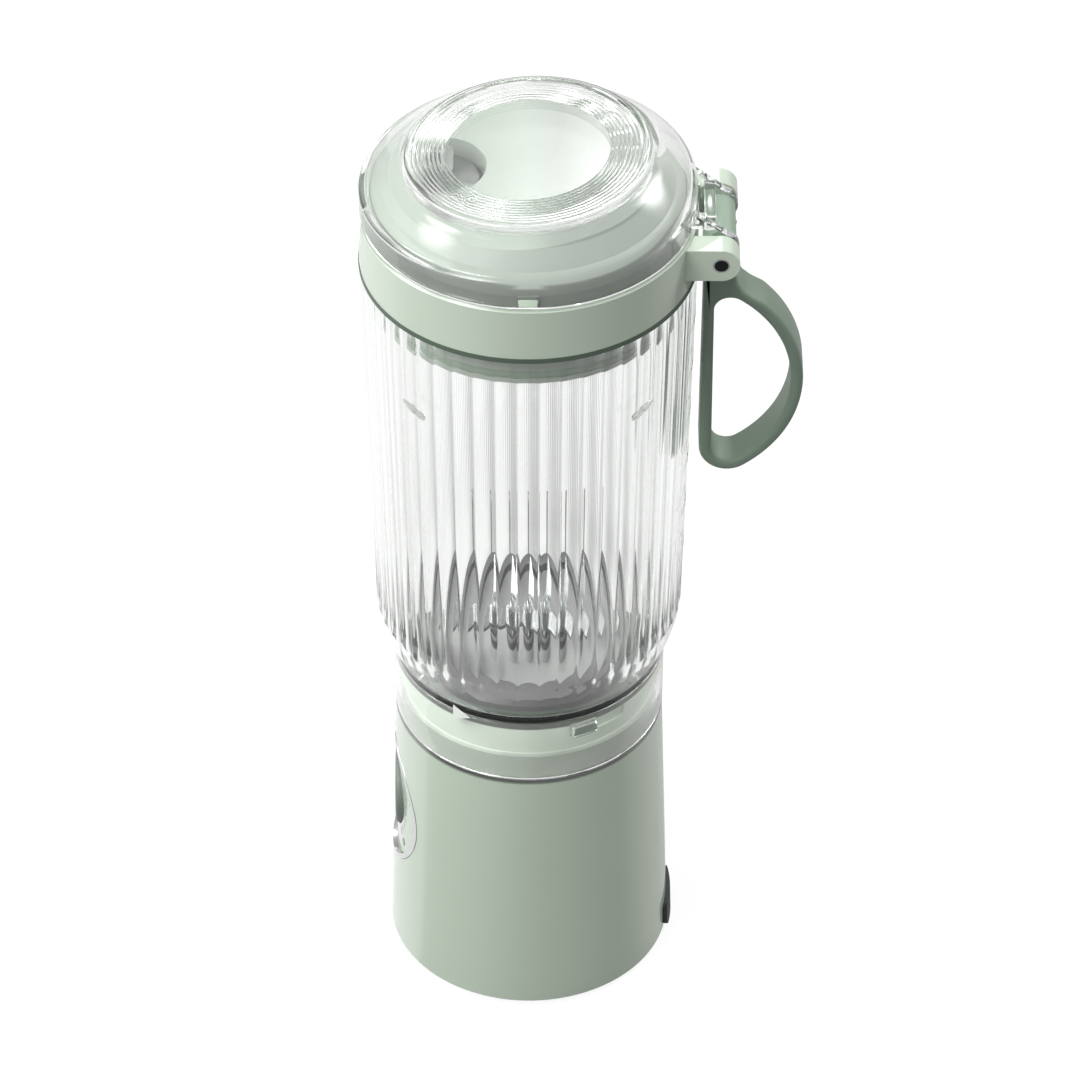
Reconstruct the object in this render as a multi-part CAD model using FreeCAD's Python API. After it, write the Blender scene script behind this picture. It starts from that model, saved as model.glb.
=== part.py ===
import FreeCAD, Part
# Cordless cup blender: a fluted clear jar on a round motor base, closed by a screwed lid
# with a hinged clear cap and a soft carry loop on the hinge pin.
#
# Millimetres, +Z up. The origin is the middle of the foot pad, on the surface that the
# blender stands on. -X is the front (control knob, spout, latch). +X is the back (hinge,
# carry loop, charging port). -Y and +Y are the two sides.
import math
import os

from FreeCAD import Vector

Z_AXIS = Vector(0, 0, 1)
Y_AXIS = Vector(0, 1, 0)
X_AXIS = Vector(1, 0, 0)
ORIGIN = Vector(0, 0, 0)
FAR = 200.0                   # reach of a cutting solid past the part it cuts
CUT_MARGIN = 10.0             # cutting cones reach this far past the base

# ---- clearances -------------------------------------------------------------------------
SEAT_GAP = 0.1                # between pieces that are clamped or pressed together
LOOSE_GAP = 0.3               # between pieces that come apart or slide past each other
SWING_GAP = 0.35              # beside a piece that swings on the hinge pin
BORE_GAP = 0.06               # radial running clearance round a pin or shaft
PRESS_GAP = 0.02              # round a pin or shaft that is pressed in

# ---- base shell -------------------------------------------------------------------------
BASE_TOP_RADIUS = 36.2
BASE_FLARE = 2.2              # the foot is wider than the top by this much
BASE_TOP_Z = 81.2
BASE_UNDERSIDE_Z = 0.6
BASE_WALL = 2.2
BASE_EDGE_ROUND = 0.8
DECK_LEDGE_DROP = 2.4
DECK_LEDGE_DEPTH = 2.4
DECK_LEDGE_THICKNESS = 2.0

# ---- bottom cover, foot pad and screws --------------------------------------------------
COVER_UNDERSIDE_Z = 1.0
COVER_THICKNESS = 2.4
FOOT_PAD_INSET = 7.2          # inside the base's top radius
FOOT_RECESS_DEPTH = 0.9
BASE_SCREW_COUNT = 4
BASE_SCREW_RADIUS = 1.3
BASE_SCREW_LENGTH = 9.0
BASE_SCREW_HEAD_RADIUS = 2.3
BASE_SCREW_HEAD_HEIGHT = 1.3
BASE_BOSS_RADIUS = 3.3
BASE_BOSS_HEIGHT = 11.0
BASE_BOSS_INSET = 2.7         # boss centre inside the shell's inner wall

# ---- trim ring and top deck with the bayonet neck ---------------------------------------
TRIM_HEIGHT = 0.8
TRIM_WIDTH = 1.7
TRIM_PROUD = 0.1
PEDESTAL_HEIGHT = 8.8         # above the shell's top
DECK_FLOOR_HEIGHT = 2.2       # above the shell's top
DECK_FLOOR_THICKNESS = 2.4
DECK_RIM_WALL = 2.8
NECK_WALL = 2.4
NECK_PLAY = 1.3               # between the neck and the jar's skirt
NECK_HEADROOM = 1.0           # between the neck and the jar's floor
DRIP_COLLAR_RADIUS = 12.0
DRIP_COLLAR_WALL = 1.5
DRIP_COLLAR_HEIGHT = 2.6
BAYONET_COUNT = 3
BAYONET_FIRST_ANGLE = -64.5
BAYONET_LUG_WIDTH = 6.8
BAYONET_LUG_HEIGHT = 3.7
BAYONET_LUG_DROP = 6.0        # lug's underside below the neck's top
BAYONET_LUG_DEPTH = 1.8
BAYONET_TURN = 16.0           # degrees from the entry slot to the end of the track

# ---- motor and drive --------------------------------------------------------------------
MOTOR_CELL_GAP = 1.1          # between the motor and each battery cell
MOTOR_LENGTH = 38.0
MOTOR_EDGE = 1.0
MOTOR_BOSS_RADIUS = 4.0
MOTOR_BOSS_HEIGHT = 1.6
MOTOR_SHAFT_RADIUS = 1.6
MOTOR_SHAFT_DEPTH = 34.0      # length of shaft inside the can
SHAFT_HOLE_RADIUS = 2.6
BRACKET_OVERHANG = 9.5        # bracket's edge outside the motor
BRACKET_THICKNESS = 2.0
MOTOR_SCREW_RADIUS = 1.2
MOTOR_SCREW_SPREAD = 8.0
MOTOR_SCREW_LENGTH = 4.5
BRACKET_SCREW_COUNT = 3
BRACKET_SCREW_INSET = 4.0
BRACKET_SCREW_LENGTH = 3.9
BRACKET_SCREW_HEAD_RADIUS = 2.3
BRACKET_SCREW_HEAD_HEIGHT = 1.4
COUPLER_LOBES = 6
DRIVE_COUPLER_RADIUS = 6.0
DRIVE_COUPLER_ROOT = 4.3
DRIVE_COUPLER_LIFT = 0.8      # above the deck's floor
DRIVE_COUPLER_CAP = 0.8       # above the motor shaft's end
DRIVEN_COUPLER_RADIUS = 8.6
DRIVEN_COUPLER_HEIGHT = 7.7
DRIVEN_COUPLER_WEB = 2.4
COUPLER_END_GAP = 0.5

# ---- batteries and electronics ----------------------------------------------------------
CELL_RADIUS = 9.2
CELL_LENGTH = 65.0
CELL_BUTTON_HEIGHT = 1.0
CELL_WALL_GAP = 0.5           # between a cell and the casing's upper inner wall
CRADLE_WALL = 1.4
CRADLE_FLOOR = 2.0
CRADLE_HEIGHT = 15.0
CRADLE_BRIDGE_WIDTH = 14.0
BOARD_THICKNESS = 1.4
SOCKET_WIDTH = 9.0
SOCKET_HEIGHT = 3.2
SOCKET_DEPTH = 7.3
SOCKET_WALL = 0.35
SOCKET_ROUND = 1.2
SOCKET_SETBACK = 0.9          # behind the shell's inner wall
CHARGE_BOARD_LENGTH = 17.0
CHARGE_BOARD_WIDTH = 20.0
SENSOR_LENGTH = 4.5
SENSOR_WIDTH = 6.0
SENSOR_BRACKET_GAP = 3.5      # sensor's middle beyond the motor bracket's rim
MAGNET_RADIUS = 1.2
MAGNET_HEIGHT = 2.0

# ---- control knob on the front ----------------------------------------------------------
CONTROL_Z = 47.7
BEZEL_RADIUS = 21.0
BEZEL_WIDTH = 1.6
BEZEL_PROUD = 0.15
PLATE_RECESS = 1.0
PLATE_THICKNESS = 1.6
KNOB_RADIUS = 10.8
KNOB_INSET = 0.4              # knob's face behind the base's outer surface at its height
KNOB_DEPTH = 5.2
KNOB_EDGE_ROUND = 0.7
KNOB_MARK_LENGTH = 6.0
KNOB_MARK_WIDTH = 1.4
KNOB_MARK_DEPTH = 0.4
KNOB_SHAFT_RADIUS = 3.0
SWITCH_SETBACK = 7.0          # switch body behind the knob's back
SWITCH_DEPTH = 5.0
SWITCH_SIZE = 12.0
CONTROL_BOARD_WIDTH = 30.0
CONTROL_BOARD_HEIGHT = 36.0
POST_RADIUS = 1.8
POST_SPREAD = 12.2

# ---- charging port cover ----------------------------------------------------------------
PORT_Z = 6.2
PORT_HOLE_WIDTH = 10.4
PORT_HOLE_HEIGHT = 4.9
PORT_HOLE_ROUND = 1.0
PORT_POCKET_WIDTH = 18.4
PORT_POCKET_BOTTOM_Z = 1.0
PORT_POCKET_TOP_Z = 9.6
PORT_POCKET_DEPTH = 0.8
PORT_COVER_GAP = 0.35
PORT_COVER_PROUD = 1.2
PORT_PLUG_WIDTH = 8.2
PORT_PLUG_HEIGHT = 2.0
PORT_PLUG_ROUND = 0.6
PORT_CORNER_ROUND = 2.4

# ---- jar --------------------------------------------------------------------------------
SKIRT_PROUD = 0.1             # skirt outside the base's top
SKIRT_FLARE = 0.2
SKIRT_WALL = 2.0
SKIRT_HEIGHT = 22.7
SHOULDER_STEP = 0.8           # from the skirt out to the foot of the shoulder
SHOULDER_STEP_HEIGHT = 1.6
SHOULDER_HEIGHT = 11.6
SHOULDER_BULGE_RADIUS = 1.5   # middle of the shoulder's curve inside its top
SHOULDER_BULGE_HEIGHT = 6.5   # and below its top
JAR_BODY_HEIGHT = 113.7
JAR_OVERHANG = 7.5            # top of the jar's body outside the base's top
JAR_TAPER = 2.9
JAR_WALL = 3.6
JAR_NECK_STEP = 2.3
JAR_NECK_WALL = 2.0
JAR_NECK_HEIGHT = 12.3
JAR_MOUTH_CHAMFER = 0.5
JAR_CORNER_INSET = 2.2        # middle of the rounded inner corner inside the wall's foot
JAR_CORNER_DROP = 9.0         # and below it
JAR_FLOOR_INSET = 3.7         # floor's edge inside the wall's foot
JAR_FLOOR_HEIGHT = 21.9       # above the skirt's bottom edge
JAR_FLOOR_THICKNESS = 2.5
JAR_LEDGE_WIDTH = 5.8         # hole in the jar's floor inside the base's neck
FLUTE_COUNT = 60
FLUTE_DEPTH = 0.4
RIB_COUNT = 3
RIB_FIRST_ANGLE = -150.0
RIB_WIDTH = 3.0
RIB_HEIGHT = 21.0
RIB_CLEARANCE = 0.6           # outside the blade carrier's flange

# ---- blade unit -------------------------------------------------------------------------
CARRIER_GASKET_HEIGHT = 1.2
CARRIER_FLANGE_OVERLAP = 3.8  # flange outside the hole in the jar's floor
CARRIER_FLANGE_THICKNESS = 2.0
CARRIER_CHAMFER = 0.8
BOWL_INSET = 1.2              # bowl's mouth inside the hole in the jar's floor
BOWL_WALL = 0.9
BOWL_FLOOR_INSET = 6.0         # bowl's flat floor inside its mouth
BOWL_DEPTH = 9.7              # floor below the flange's top
BOWL_CURVE_HEIGHT = 4.0
BOWL_FLOOR_THICKNESS = 2.5
BUSH_SEAT = 1.0
HUB_RADIUS = 7.7
HUB_RISE = 0.8                # hub's top above the flange's top
HUB_BORE_RADIUS = 5.0
CARRIER_NUT_PLAY = 0.4        # inside the base's neck
CARRIER_NUT_HEIGHT = 3.4
CARRIER_NUT_NOTCHES = 6
CARRIER_NUT_NOTCH_WIDTH = 4.0
CARRIER_NUT_NOTCH_DEPTH = 1.0
BLADE_SHAFT_RADIUS = 2.5
BLADE_SHAFT_HOLE_GAP = 0.5
BLADE_SHOULDER_HEIGHT = 0.7
SEAL_HEIGHT = 2.6
BLADE_THICKNESS = 1.2
BLADE_HALF_WIDTH = 4.2
BLADE_FLAT_REACH = 8.6        # where the arm bends
BLADE_ROOT_OVERLAP = 0.5
BLADE_TIP_SLANT = 3.0
LOWER_BLADE_REACH = 17.2
LOWER_BLADE_DROP = 3.0
LOWER_BLADE_ANGLE = -8.0
UPPER_BLADE_REACH = 14.5
UPPER_BLADE_RISE = 8.0
UPPER_BLADE_ANGLE = 62.0
BLADE_NUT_RADIUS = 4.6
BLADE_NUT_HEIGHT = 3.6
BLADE_NUT_DOME_INSET = 0.8

# ---- lid --------------------------------------------------------------------------------
COLLAR_GASKET_HEIGHT = 1.5
COLLAR_GASKET_PROUD = 0.15
COLLAR_RISE = 4.5             # collar's top above the jar's mouth
COLLAR_STEP_INSET = 0.9       # collar's upper bore inside the jar's neck
COLLAR_STEP_RISE = 0.8        # collar's step above the jar's mouth
COLLAR_EDGE_ROUND = 0.6
DECK_PLUG_PLAY = 0.7
DECK_PLUG_WALL = 2.0
DECK_PLUG_DEPTH = 21.4        # below the jar's mouth
DECK_SIDE_HEIGHT = 3.1        # above the collar
DECK_SHOULDER_WIDTH = 3.2
DECK_SHOULDER_HEIGHT = 4.2
DECK_CONE_HEIGHT = 12.7       # above the collar
DECK_CENTRE_DROP = 0.8
DECK_THICKNESS = 2.8
DECK_CEILING_INSET = 2.0
SEAL_GROOVE_RISE = 1.4        # above the plug's lower edge
SEAL_GROOVE_HEIGHT = 2.4
SEAL_GROOVE_DEPTH = 1.0
SEAL_PROUD = 0.13
SEAL_CROWN = 0.2
LATCH_HALF_WIDTH = 8.2
LATCH_RECESS_DEPTH = 1.1
LATCH_RISE = 3.8              # recess above the collar's lower edge
LATCH_ROUND = 4.0
CATCH_BOTTOM_WIDTH = 4.2
CATCH_TOP_WIDTH = 5.4
CATCH_HEIGHT = 3.2
CATCH_DEPTH = 0.7

# ---- spout and stopper ------------------------------------------------------------------
SPOUT_INSET = 4.0             # pocket's flat end inside the top of the cone
SPOUT_LENGTH = 18.6
SPOUT_HALF_WIDTH = 12.3
SPOUT_CORNER_ROUND = 3.0
SPOUT_DEPTH = 4.6             # pocket's floor below the deck's ceiling
SPOUT_WALL = 1.6
SPOUT_HOLE_INSET = 8.0        # hole's middle inside the pocket's flat end
SPOUT_HOLE_HALF_WIDTH = 4.6
SPOUT_HOLE_HALF_LENGTH = 8.4
STOPPER_POCKET_GAP = 1.9
STOPPER_HOLE_GAP = 0.45
STOPPER_LIFT = 0.4
STOPPER_FLANGE_HEIGHT = 2.2
STOPPER_PLUG_DEPTH = 1.6
STOPPER_LUG_WIDTH = 4.2
STOPPER_LUG_LENGTH = 11.0
STOPPER_LUG_ROUND = 1.5

# ---- hinge ------------------------------------------------------------------------------
HINGE_REACH = 5.5             # pin's axis outside the collar
HINGE_DROP = 6.1              # pin's axis below the collar's top
LUG_RADIUS = 4.8
LUG_INNER_Y = 11.0
LUG_WIDTH = 6.4
LUG_ROOT = 0.8                # lug's root outside the collar's bore
EAR_RADIUS = 4.8
EAR_THICKNESS = 3.0
EAR_TOP_DROP = 0.6            # below the top of the cap's rim
EAR_CREST_X = 1.4
HINGE_PIN_RADIUS = 1.6
FERRULE_RADIUS = 2.2
FERRULE_WALL = 0.4
FERRULE_DEPTH = 2.2
WEB_FRONT = 4.2               # web's front before the pin's axis
WEB_BACK = 1.2
WEB_LIFT = 4.8                # web's underside above the pin's axis
WEB_HEIGHT = 3.6

# ---- flip cap ---------------------------------------------------------------------------
CAP_RIM_INSET = 0.3           # inside the collar
CAP_RIM_HEIGHT = 6.0
CAP_WALL = 1.8
CAP_TILT = 3.2                # degrees, front edge of the disc lower than its back edge
CAP_SHOULDER_WIDTH = 10.0
CAP_SHOULDER_HEIGHT = 9.2
CAP_STATIONS = 4
DISC_INSET = 1.4              # inside the shoulder's top
DISC_RISE = 2.5               # above the shoulder's top
DISC_THICKNESS = 3.4
DISC_EDGE_ROUND = 1.1
GROOVE_COUNT = 9
GROOVE_DEPTH = 0.35
GROOVE_MARGIN = 1.4
GROOVE_BAND = 9.6
TONGUE_THICKNESS = 0.9
SCALLOP_RADIUS = 7.5
SCALLOP_DEPTH = 1.2
SCALLOP_LIFT = 1.0
WINDOW_HALF_WIDTH = 5.4
WINDOW_DEPTH = 0.6

# ---- carry loop -------------------------------------------------------------------------
LOOP_HALF_WIDTH = 5.6
LOOP_THICKNESS = 3.3
LOOP_COLLAR_GAP = 1.0
LOOP_BOW_RADIUS = 35.5
LOOP_BOW_SHIFT = 8.6          # bow's centre in front of the loop's straight front
LOOP_HANG = 47.4              # bow's centre below the pin's axis
LOOP_CORNER_RADIUS = 7.5
LOOP_SEAT_GAP = 0.1
LOOP_EDGE_ROUND = 0.9
BARREL_RADIUS = 4.1

# ---- base sizes that follow -------------------------------------------------------------
BASE_FOOT_RADIUS = BASE_TOP_RADIUS + BASE_FLARE
FOOT_PAD_RADIUS = BASE_TOP_RADIUS - FOOT_PAD_INSET
CELL_SPREAD = BASE_TOP_RADIUS - BASE_WALL - CELL_WALL_GAP - CELL_RADIUS
MOTOR_RADIUS = CELL_SPREAD - CELL_RADIUS - MOTOR_CELL_GAP
BRACKET_RADIUS = MOTOR_RADIUS + BRACKET_OVERHANG
BRACKET_SCREW_SPREAD = BRACKET_RADIUS - BRACKET_SCREW_INSET
SENSOR_X = BRACKET_RADIUS + SENSOR_BRACKET_GAP
DECK_LEDGE_Z = BASE_TOP_Z - DECK_LEDGE_DROP
COVER_TOP_Z = COVER_UNDERSIDE_Z + COVER_THICKNESS
PEDESTAL_RADIUS = BASE_TOP_RADIUS - BASE_WALL - SEAT_GAP
PEDESTAL_TOP_Z = BASE_TOP_Z + PEDESTAL_HEIGHT
DECK_FLOOR_Z = BASE_TOP_Z + DECK_FLOOR_HEIGHT
DECK_FLOOR_UNDERSIDE_Z = DECK_FLOOR_Z - DECK_FLOOR_THICKNESS
MOTOR_TOP_Z = DECK_FLOOR_UNDERSIDE_Z - BRACKET_THICKNESS
CRADLE_BOTTOM_Z = COVER_TOP_Z + SEAT_GAP
CELL_BOTTOM_Z = CRADLE_BOTTOM_Z + CRADLE_FLOOR
BASE_RADIUS_AT_KNOB = BASE_FOOT_RADIUS - BASE_FLARE * CONTROL_Z / BASE_TOP_Z
KNOB_FACE_X = KNOB_INSET - BASE_RADIUS_AT_KNOB
KNOB_BACK_X = KNOB_FACE_X + KNOB_DEPTH
SWITCH_FRONT_X = KNOB_BACK_X + SWITCH_SETBACK
BOARD_FRONT_X = SWITCH_FRONT_X + SWITCH_DEPTH

# ---- jar sizes that follow --------------------------------------------------------------
SKIRT_BOTTOM_Z = BASE_TOP_Z + TRIM_HEIGHT + SEAT_GAP
SKIRT_BOTTOM_RADIUS = BASE_TOP_RADIUS + SKIRT_PROUD
SKIRT_TOP_RADIUS = SKIRT_BOTTOM_RADIUS + SKIRT_FLARE
SKIRT_INNER_RADIUS = SKIRT_BOTTOM_RADIUS - SKIRT_WALL
SKIRT_TOP_Z = SKIRT_BOTTOM_Z + SKIRT_HEIGHT
NECK_RADIUS = SKIRT_INNER_RADIUS - NECK_PLAY
SHOULDER_FOOT_RADIUS = SKIRT_TOP_RADIUS + SHOULDER_STEP
SHOULDER_FOOT_Z = SKIRT_TOP_Z + SHOULDER_STEP_HEIGHT
JAR_BODY_TOP_RADIUS = BASE_TOP_RADIUS + JAR_OVERHANG
JAR_BODY_BOTTOM_RADIUS = JAR_BODY_TOP_RADIUS - JAR_TAPER
JAR_FLOOR_HOLE_RADIUS = NECK_RADIUS - JAR_LEDGE_WIDTH
JAR_BODY_BOTTOM_Z = SHOULDER_FOOT_Z + SHOULDER_HEIGHT
JAR_BODY_TOP_Z = JAR_BODY_BOTTOM_Z + JAR_BODY_HEIGHT
JAR_NECK_RADIUS = JAR_BODY_TOP_RADIUS - JAR_NECK_STEP
JAR_MOUTH_RADIUS = JAR_NECK_RADIUS - JAR_NECK_WALL
JAR_MOUTH_Z = JAR_BODY_TOP_Z + JAR_NECK_HEIGHT
JAR_INNER_BOTTOM_RADIUS = JAR_BODY_BOTTOM_RADIUS - JAR_WALL
JAR_FLOOR_Z = SKIRT_BOTTOM_Z + JAR_FLOOR_HEIGHT
JAR_LEDGE_UNDERSIDE_Z = JAR_FLOOR_Z - JAR_FLOOR_THICKNESS
NECK_TOP_Z = JAR_LEDGE_UNDERSIDE_Z - NECK_HEADROOM
BAYONET_LUG_BOTTOM_Z = NECK_TOP_Z - BAYONET_LUG_DROP

# ---- blade unit sizes that follow -------------------------------------------------------
CARRIER_FLANGE_RADIUS = JAR_FLOOR_HOLE_RADIUS + CARRIER_FLANGE_OVERLAP
CARRIER_FLANGE_BOTTOM_Z = JAR_FLOOR_Z + CARRIER_GASKET_HEIGHT
CARRIER_FLANGE_TOP_Z = CARRIER_FLANGE_BOTTOM_Z + CARRIER_FLANGE_THICKNESS
CARRIER_NUT_RADIUS = NECK_RADIUS - NECK_WALL - CARRIER_NUT_PLAY
CARRIER_NUT_TOP_Z = JAR_LEDGE_UNDERSIDE_Z
CARRIER_NUT_BOTTOM_Z = CARRIER_NUT_TOP_Z - CARRIER_NUT_HEIGHT
BOWL_RADIUS = JAR_FLOOR_HOLE_RADIUS - BOWL_INSET
BOWL_FLOOR_RADIUS = BOWL_RADIUS - BOWL_FLOOR_INSET
BOWL_OUTER_RADIUS = JAR_FLOOR_HOLE_RADIUS - LOOSE_GAP
BOWL_FLOOR_Z = CARRIER_FLANGE_TOP_Z - BOWL_DEPTH
BOWL_UNDERSIDE_Z = BOWL_FLOOR_Z - BOWL_FLOOR_THICKNESS
HUB_TOP_Z = CARRIER_FLANGE_TOP_Z + HUB_RISE
BLADE_SEAT_Z = HUB_TOP_Z + LOOSE_GAP + BLADE_SHOULDER_HEIGHT
BLADE_NUT_BOTTOM_Z = BLADE_SEAT_Z + 2 * BLADE_THICKNESS
BLADE_SHAFT_TOP_Z = BLADE_NUT_BOTTOM_Z + BLADE_NUT_HEIGHT
RIB_INNER_RADIUS = CARRIER_FLANGE_RADIUS + RIB_CLEARANCE
DRIVEN_COUPLER_TOP_Z = BOWL_UNDERSIDE_Z - COUPLER_END_GAP
DRIVEN_COUPLER_BOTTOM_Z = DRIVEN_COUPLER_TOP_Z - DRIVEN_COUPLER_HEIGHT
DRIVE_COUPLER_TOP_Z = DRIVEN_COUPLER_TOP_Z - DRIVEN_COUPLER_WEB - COUPLER_END_GAP
DRIVE_COUPLER_BOTTOM_Z = DECK_FLOOR_Z + DRIVE_COUPLER_LIFT
MOTOR_SHAFT_TOP_Z = DRIVE_COUPLER_TOP_Z - DRIVE_COUPLER_CAP

# ---- lid sizes that follow --------------------------------------------------------------
COLLAR_RADIUS = JAR_BODY_TOP_RADIUS
COLLAR_BOTTOM_Z = JAR_BODY_TOP_Z + COLLAR_GASKET_HEIGHT
COLLAR_TOP_Z = JAR_MOUTH_Z + COLLAR_RISE
COLLAR_STEP_Z = JAR_MOUTH_Z + COLLAR_STEP_RISE
COLLAR_INNER_RADIUS = JAR_NECK_RADIUS + LOOSE_GAP
COLLAR_STEP_RADIUS = JAR_NECK_RADIUS - COLLAR_STEP_INSET
COLLAR_GASKET_RADIUS = COLLAR_RADIUS + COLLAR_GASKET_PROUD
LATCH_BOTTOM_Z = COLLAR_BOTTOM_Z + LATCH_RISE
LATCH_FLOOR_RADIUS = COLLAR_RADIUS - LATCH_RECESS_DEPTH
CAP_RIM_RADIUS = COLLAR_RADIUS - CAP_RIM_INSET
CAP_RIM_BOTTOM_Z = COLLAR_TOP_Z + LOOSE_GAP
CAP_RIM_TOP_Z = CAP_RIM_BOTTOM_Z + CAP_RIM_HEIGHT
CAP_SHOULDER_TOP_RADIUS = CAP_RIM_RADIUS - CAP_SHOULDER_WIDTH
CAP_SHOULDER_TOP_Z = CAP_RIM_TOP_Z + CAP_SHOULDER_HEIGHT
DISC_RADIUS = CAP_SHOULDER_TOP_RADIUS - DISC_INSET
DISC_TOP_Z = CAP_SHOULDER_TOP_Z + DISC_RISE
DISC_UNDERSIDE_Z = DISC_TOP_Z - DISC_THICKNESS
GROOVE_OUTER_RADIUS = DISC_RADIUS - GROOVE_MARGIN
GROOVE_INNER_RADIUS = GROOVE_OUTER_RADIUS - GROOVE_BAND
DECK_SIDE_RADIUS = COLLAR_STEP_RADIUS - SEAT_GAP
DECK_SIDE_TOP_Z = COLLAR_TOP_Z + DECK_SIDE_HEIGHT
DECK_PLUG_RADIUS = JAR_MOUTH_RADIUS - DECK_PLUG_PLAY
DECK_PLUG_BOTTOM_Z = JAR_MOUTH_Z - DECK_PLUG_DEPTH
DECK_CONE_RADIUS = CAP_SHOULDER_TOP_RADIUS - CAP_RIM_INSET
DECK_CONE_Z = COLLAR_TOP_Z + DECK_CONE_HEIGHT
DECK_CENTRE_Z = DECK_CONE_Z - DECK_CENTRE_DROP
DECK_CEILING_Z = DECK_CENTRE_Z - DECK_THICKNESS
SEAL_GROOVE_Z = DECK_PLUG_BOTTOM_Z + SEAL_GROOVE_RISE
SPOUT_OUTER_X = SPOUT_INSET - DECK_CONE_RADIUS
SPOUT_INNER_X = SPOUT_OUTER_X + SPOUT_LENGTH
SPOUT_HOLE_X = SPOUT_OUTER_X + SPOUT_HOLE_INSET
SPOUT_FLOOR_Z = DECK_CEILING_Z - SPOUT_DEPTH
HINGE_X = COLLAR_RADIUS + HINGE_REACH
HINGE_Z = COLLAR_TOP_Z - HINGE_DROP
LUG_OUTER_Y = LUG_INNER_Y + LUG_WIDTH
EAR_OUTER_Y = LUG_INNER_Y - SWING_GAP
EAR_INNER_Y = EAR_OUTER_Y - EAR_THICKNESS
BARREL_HALF_LENGTH = EAR_INNER_Y - SWING_GAP
LOOP_FRONT_X = COLLAR_RADIUS + LOOP_COLLAR_GAP
LOOP_BOW_X = LOOP_FRONT_X - LOOP_BOW_SHIFT
LOOP_BOW_Z = HINGE_Z - LOOP_HANG
LOOP_NECK_BACK_X = HINGE_X + BARREL_RADIUS + LOOP_SEAT_GAP


# ---- shapes -----------------------------------------------------------------------------
def cylinder(radius, bottom, top, x=0.0, y=0.0):
    """Upright cylinder between two heights."""
    return Part.makeCylinder(radius, top - bottom, Vector(x, y, bottom))


def tube(outer, inner, bottom, top, x=0.0, y=0.0):
    """Upright ring between two heights."""
    return cylinder(outer, bottom, top, x, y).cut(cylinder(inner, bottom - 1, top + 1, x, y))


def x_cylinder(radius, x_low, x_high, y=0.0, z=0.0):
    """Cylinder lying along X."""
    return Part.makeCylinder(radius, x_high - x_low, Vector(x_low, y, z), X_AXIS)


def y_cylinder(radius, y_low, y_high, x=0.0, z=0.0):
    """Cylinder lying along Y."""
    return Part.makeCylinder(radius, y_high - y_low, Vector(x, y_low, z), Y_AXIS)


def block(x_low, x_high, y_low, y_high, z_low, z_high):
    """Box between two corners."""
    return Part.makeBox(x_high - x_low, y_high - y_low, z_high - z_low, Vector(x_low, y_low, z_low))


def wire_through(points, place):
    """Closed wire; an entry that holds two points is an arc through the first to the second."""
    edges = []
    here = place(*points[0])
    for entry in list(points[1:]) + [points[0]]:
        if isinstance(entry[0], tuple):
            middle, end = (place(*point) for point in entry)
            edges.append(Part.Arc(here, middle, end).toShape())
        else:
            end = place(*entry)
            edges.append(Part.LineSegment(here, end).toShape())
        here = end
    return Part.Wire(edges)


def revolved(points):
    """Solid of revolution about Z from an outline of (radius, height) points."""
    face = Part.Face(wire_through(points, lambda r, z: Vector(r, 0, z)))
    return face.revolve(ORIGIN, Z_AXIS, 360)


def side_prism(points, y_low, y_high):
    """Prism along Y from an outline of (x, z) points."""
    face = Part.Face(wire_through(points, lambda x, z: Vector(x, y_low, z)))
    return face.extrude(Vector(0, y_high - y_low, 0))


def flat_prism(points, z_low, z_high):
    """Prism along Z from an outline of (x, y) points."""
    face = Part.Face(wire_through(points, lambda x, y: Vector(x, y, z_low)))
    return face.extrude(Vector(0, 0, z_high - z_low))


def joined(first, *others):
    """One solid from overlapping ones."""
    return first.multiFuse(list(others)).removeSplitter()


def turned(shape, angle):
    """Copy of a shape turned about the blender axis."""
    copy = shape.copy()
    copy.rotate(ORIGIN, Z_AXIS, angle)
    return copy


def around(shape, count, first_angle=0.0):
    """Evenly spaced copies of a shape about the blender axis."""
    return [turned(shape, first_angle + 360.0 * i / count) for i in range(count)]


def tilted(shape, height):
    """Copy of a shape tilted like the cap's disc, about the blender axis at a height."""
    copy = shape.copy()
    copy.rotate(Vector(0, 0, height), Y_AXIS, -CAP_TILT)
    return copy


def rounded_x_block(x_low, x_high, half_width, z_low, z_high, radius):
    """Block centred on Y = 0 whose four long edges along X are rounded."""
    solid = block(x_low, x_high, -half_width, half_width, z_low, z_high)
    edges = [edge for edge in solid.Edges if abs(edge.BoundBox.XLength - (x_high - x_low)) < 1e-6]
    return solid.makeFillet(radius, edges)


# ---- base -------------------------------------------------------------------------------
def base_radius(z):
    """Outer radius of the tapered base at a height."""
    share = (z - BASE_UNDERSIDE_Z) / (BASE_TOP_Z - BASE_UNDERSIDE_Z)
    return BASE_FOOT_RADIUS + share * (BASE_TOP_RADIUS - BASE_FOOT_RADIUS)


def base_cone(offset):
    """Solid inside the base's outer surface moved out by an offset, taller than the base."""
    low = BASE_UNDERSIDE_Z - CUT_MARGIN
    high = BASE_TOP_Z + CUT_MARGIN
    return Part.makeCone(base_radius(low) + offset, base_radius(high) + offset, high - low,
                         Vector(0, 0, low))


def base_screw_places():
    """Centres of the bottom screws, as (x, y)."""
    reach = base_radius(COVER_TOP_Z) - BASE_WALL - BASE_BOSS_INSET
    angles = [math.radians(45 + 360 * i / BASE_SCREW_COUNT) for i in range(BASE_SCREW_COUNT)]
    return [(reach * math.cos(a), reach * math.sin(a)) for a in angles]


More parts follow.
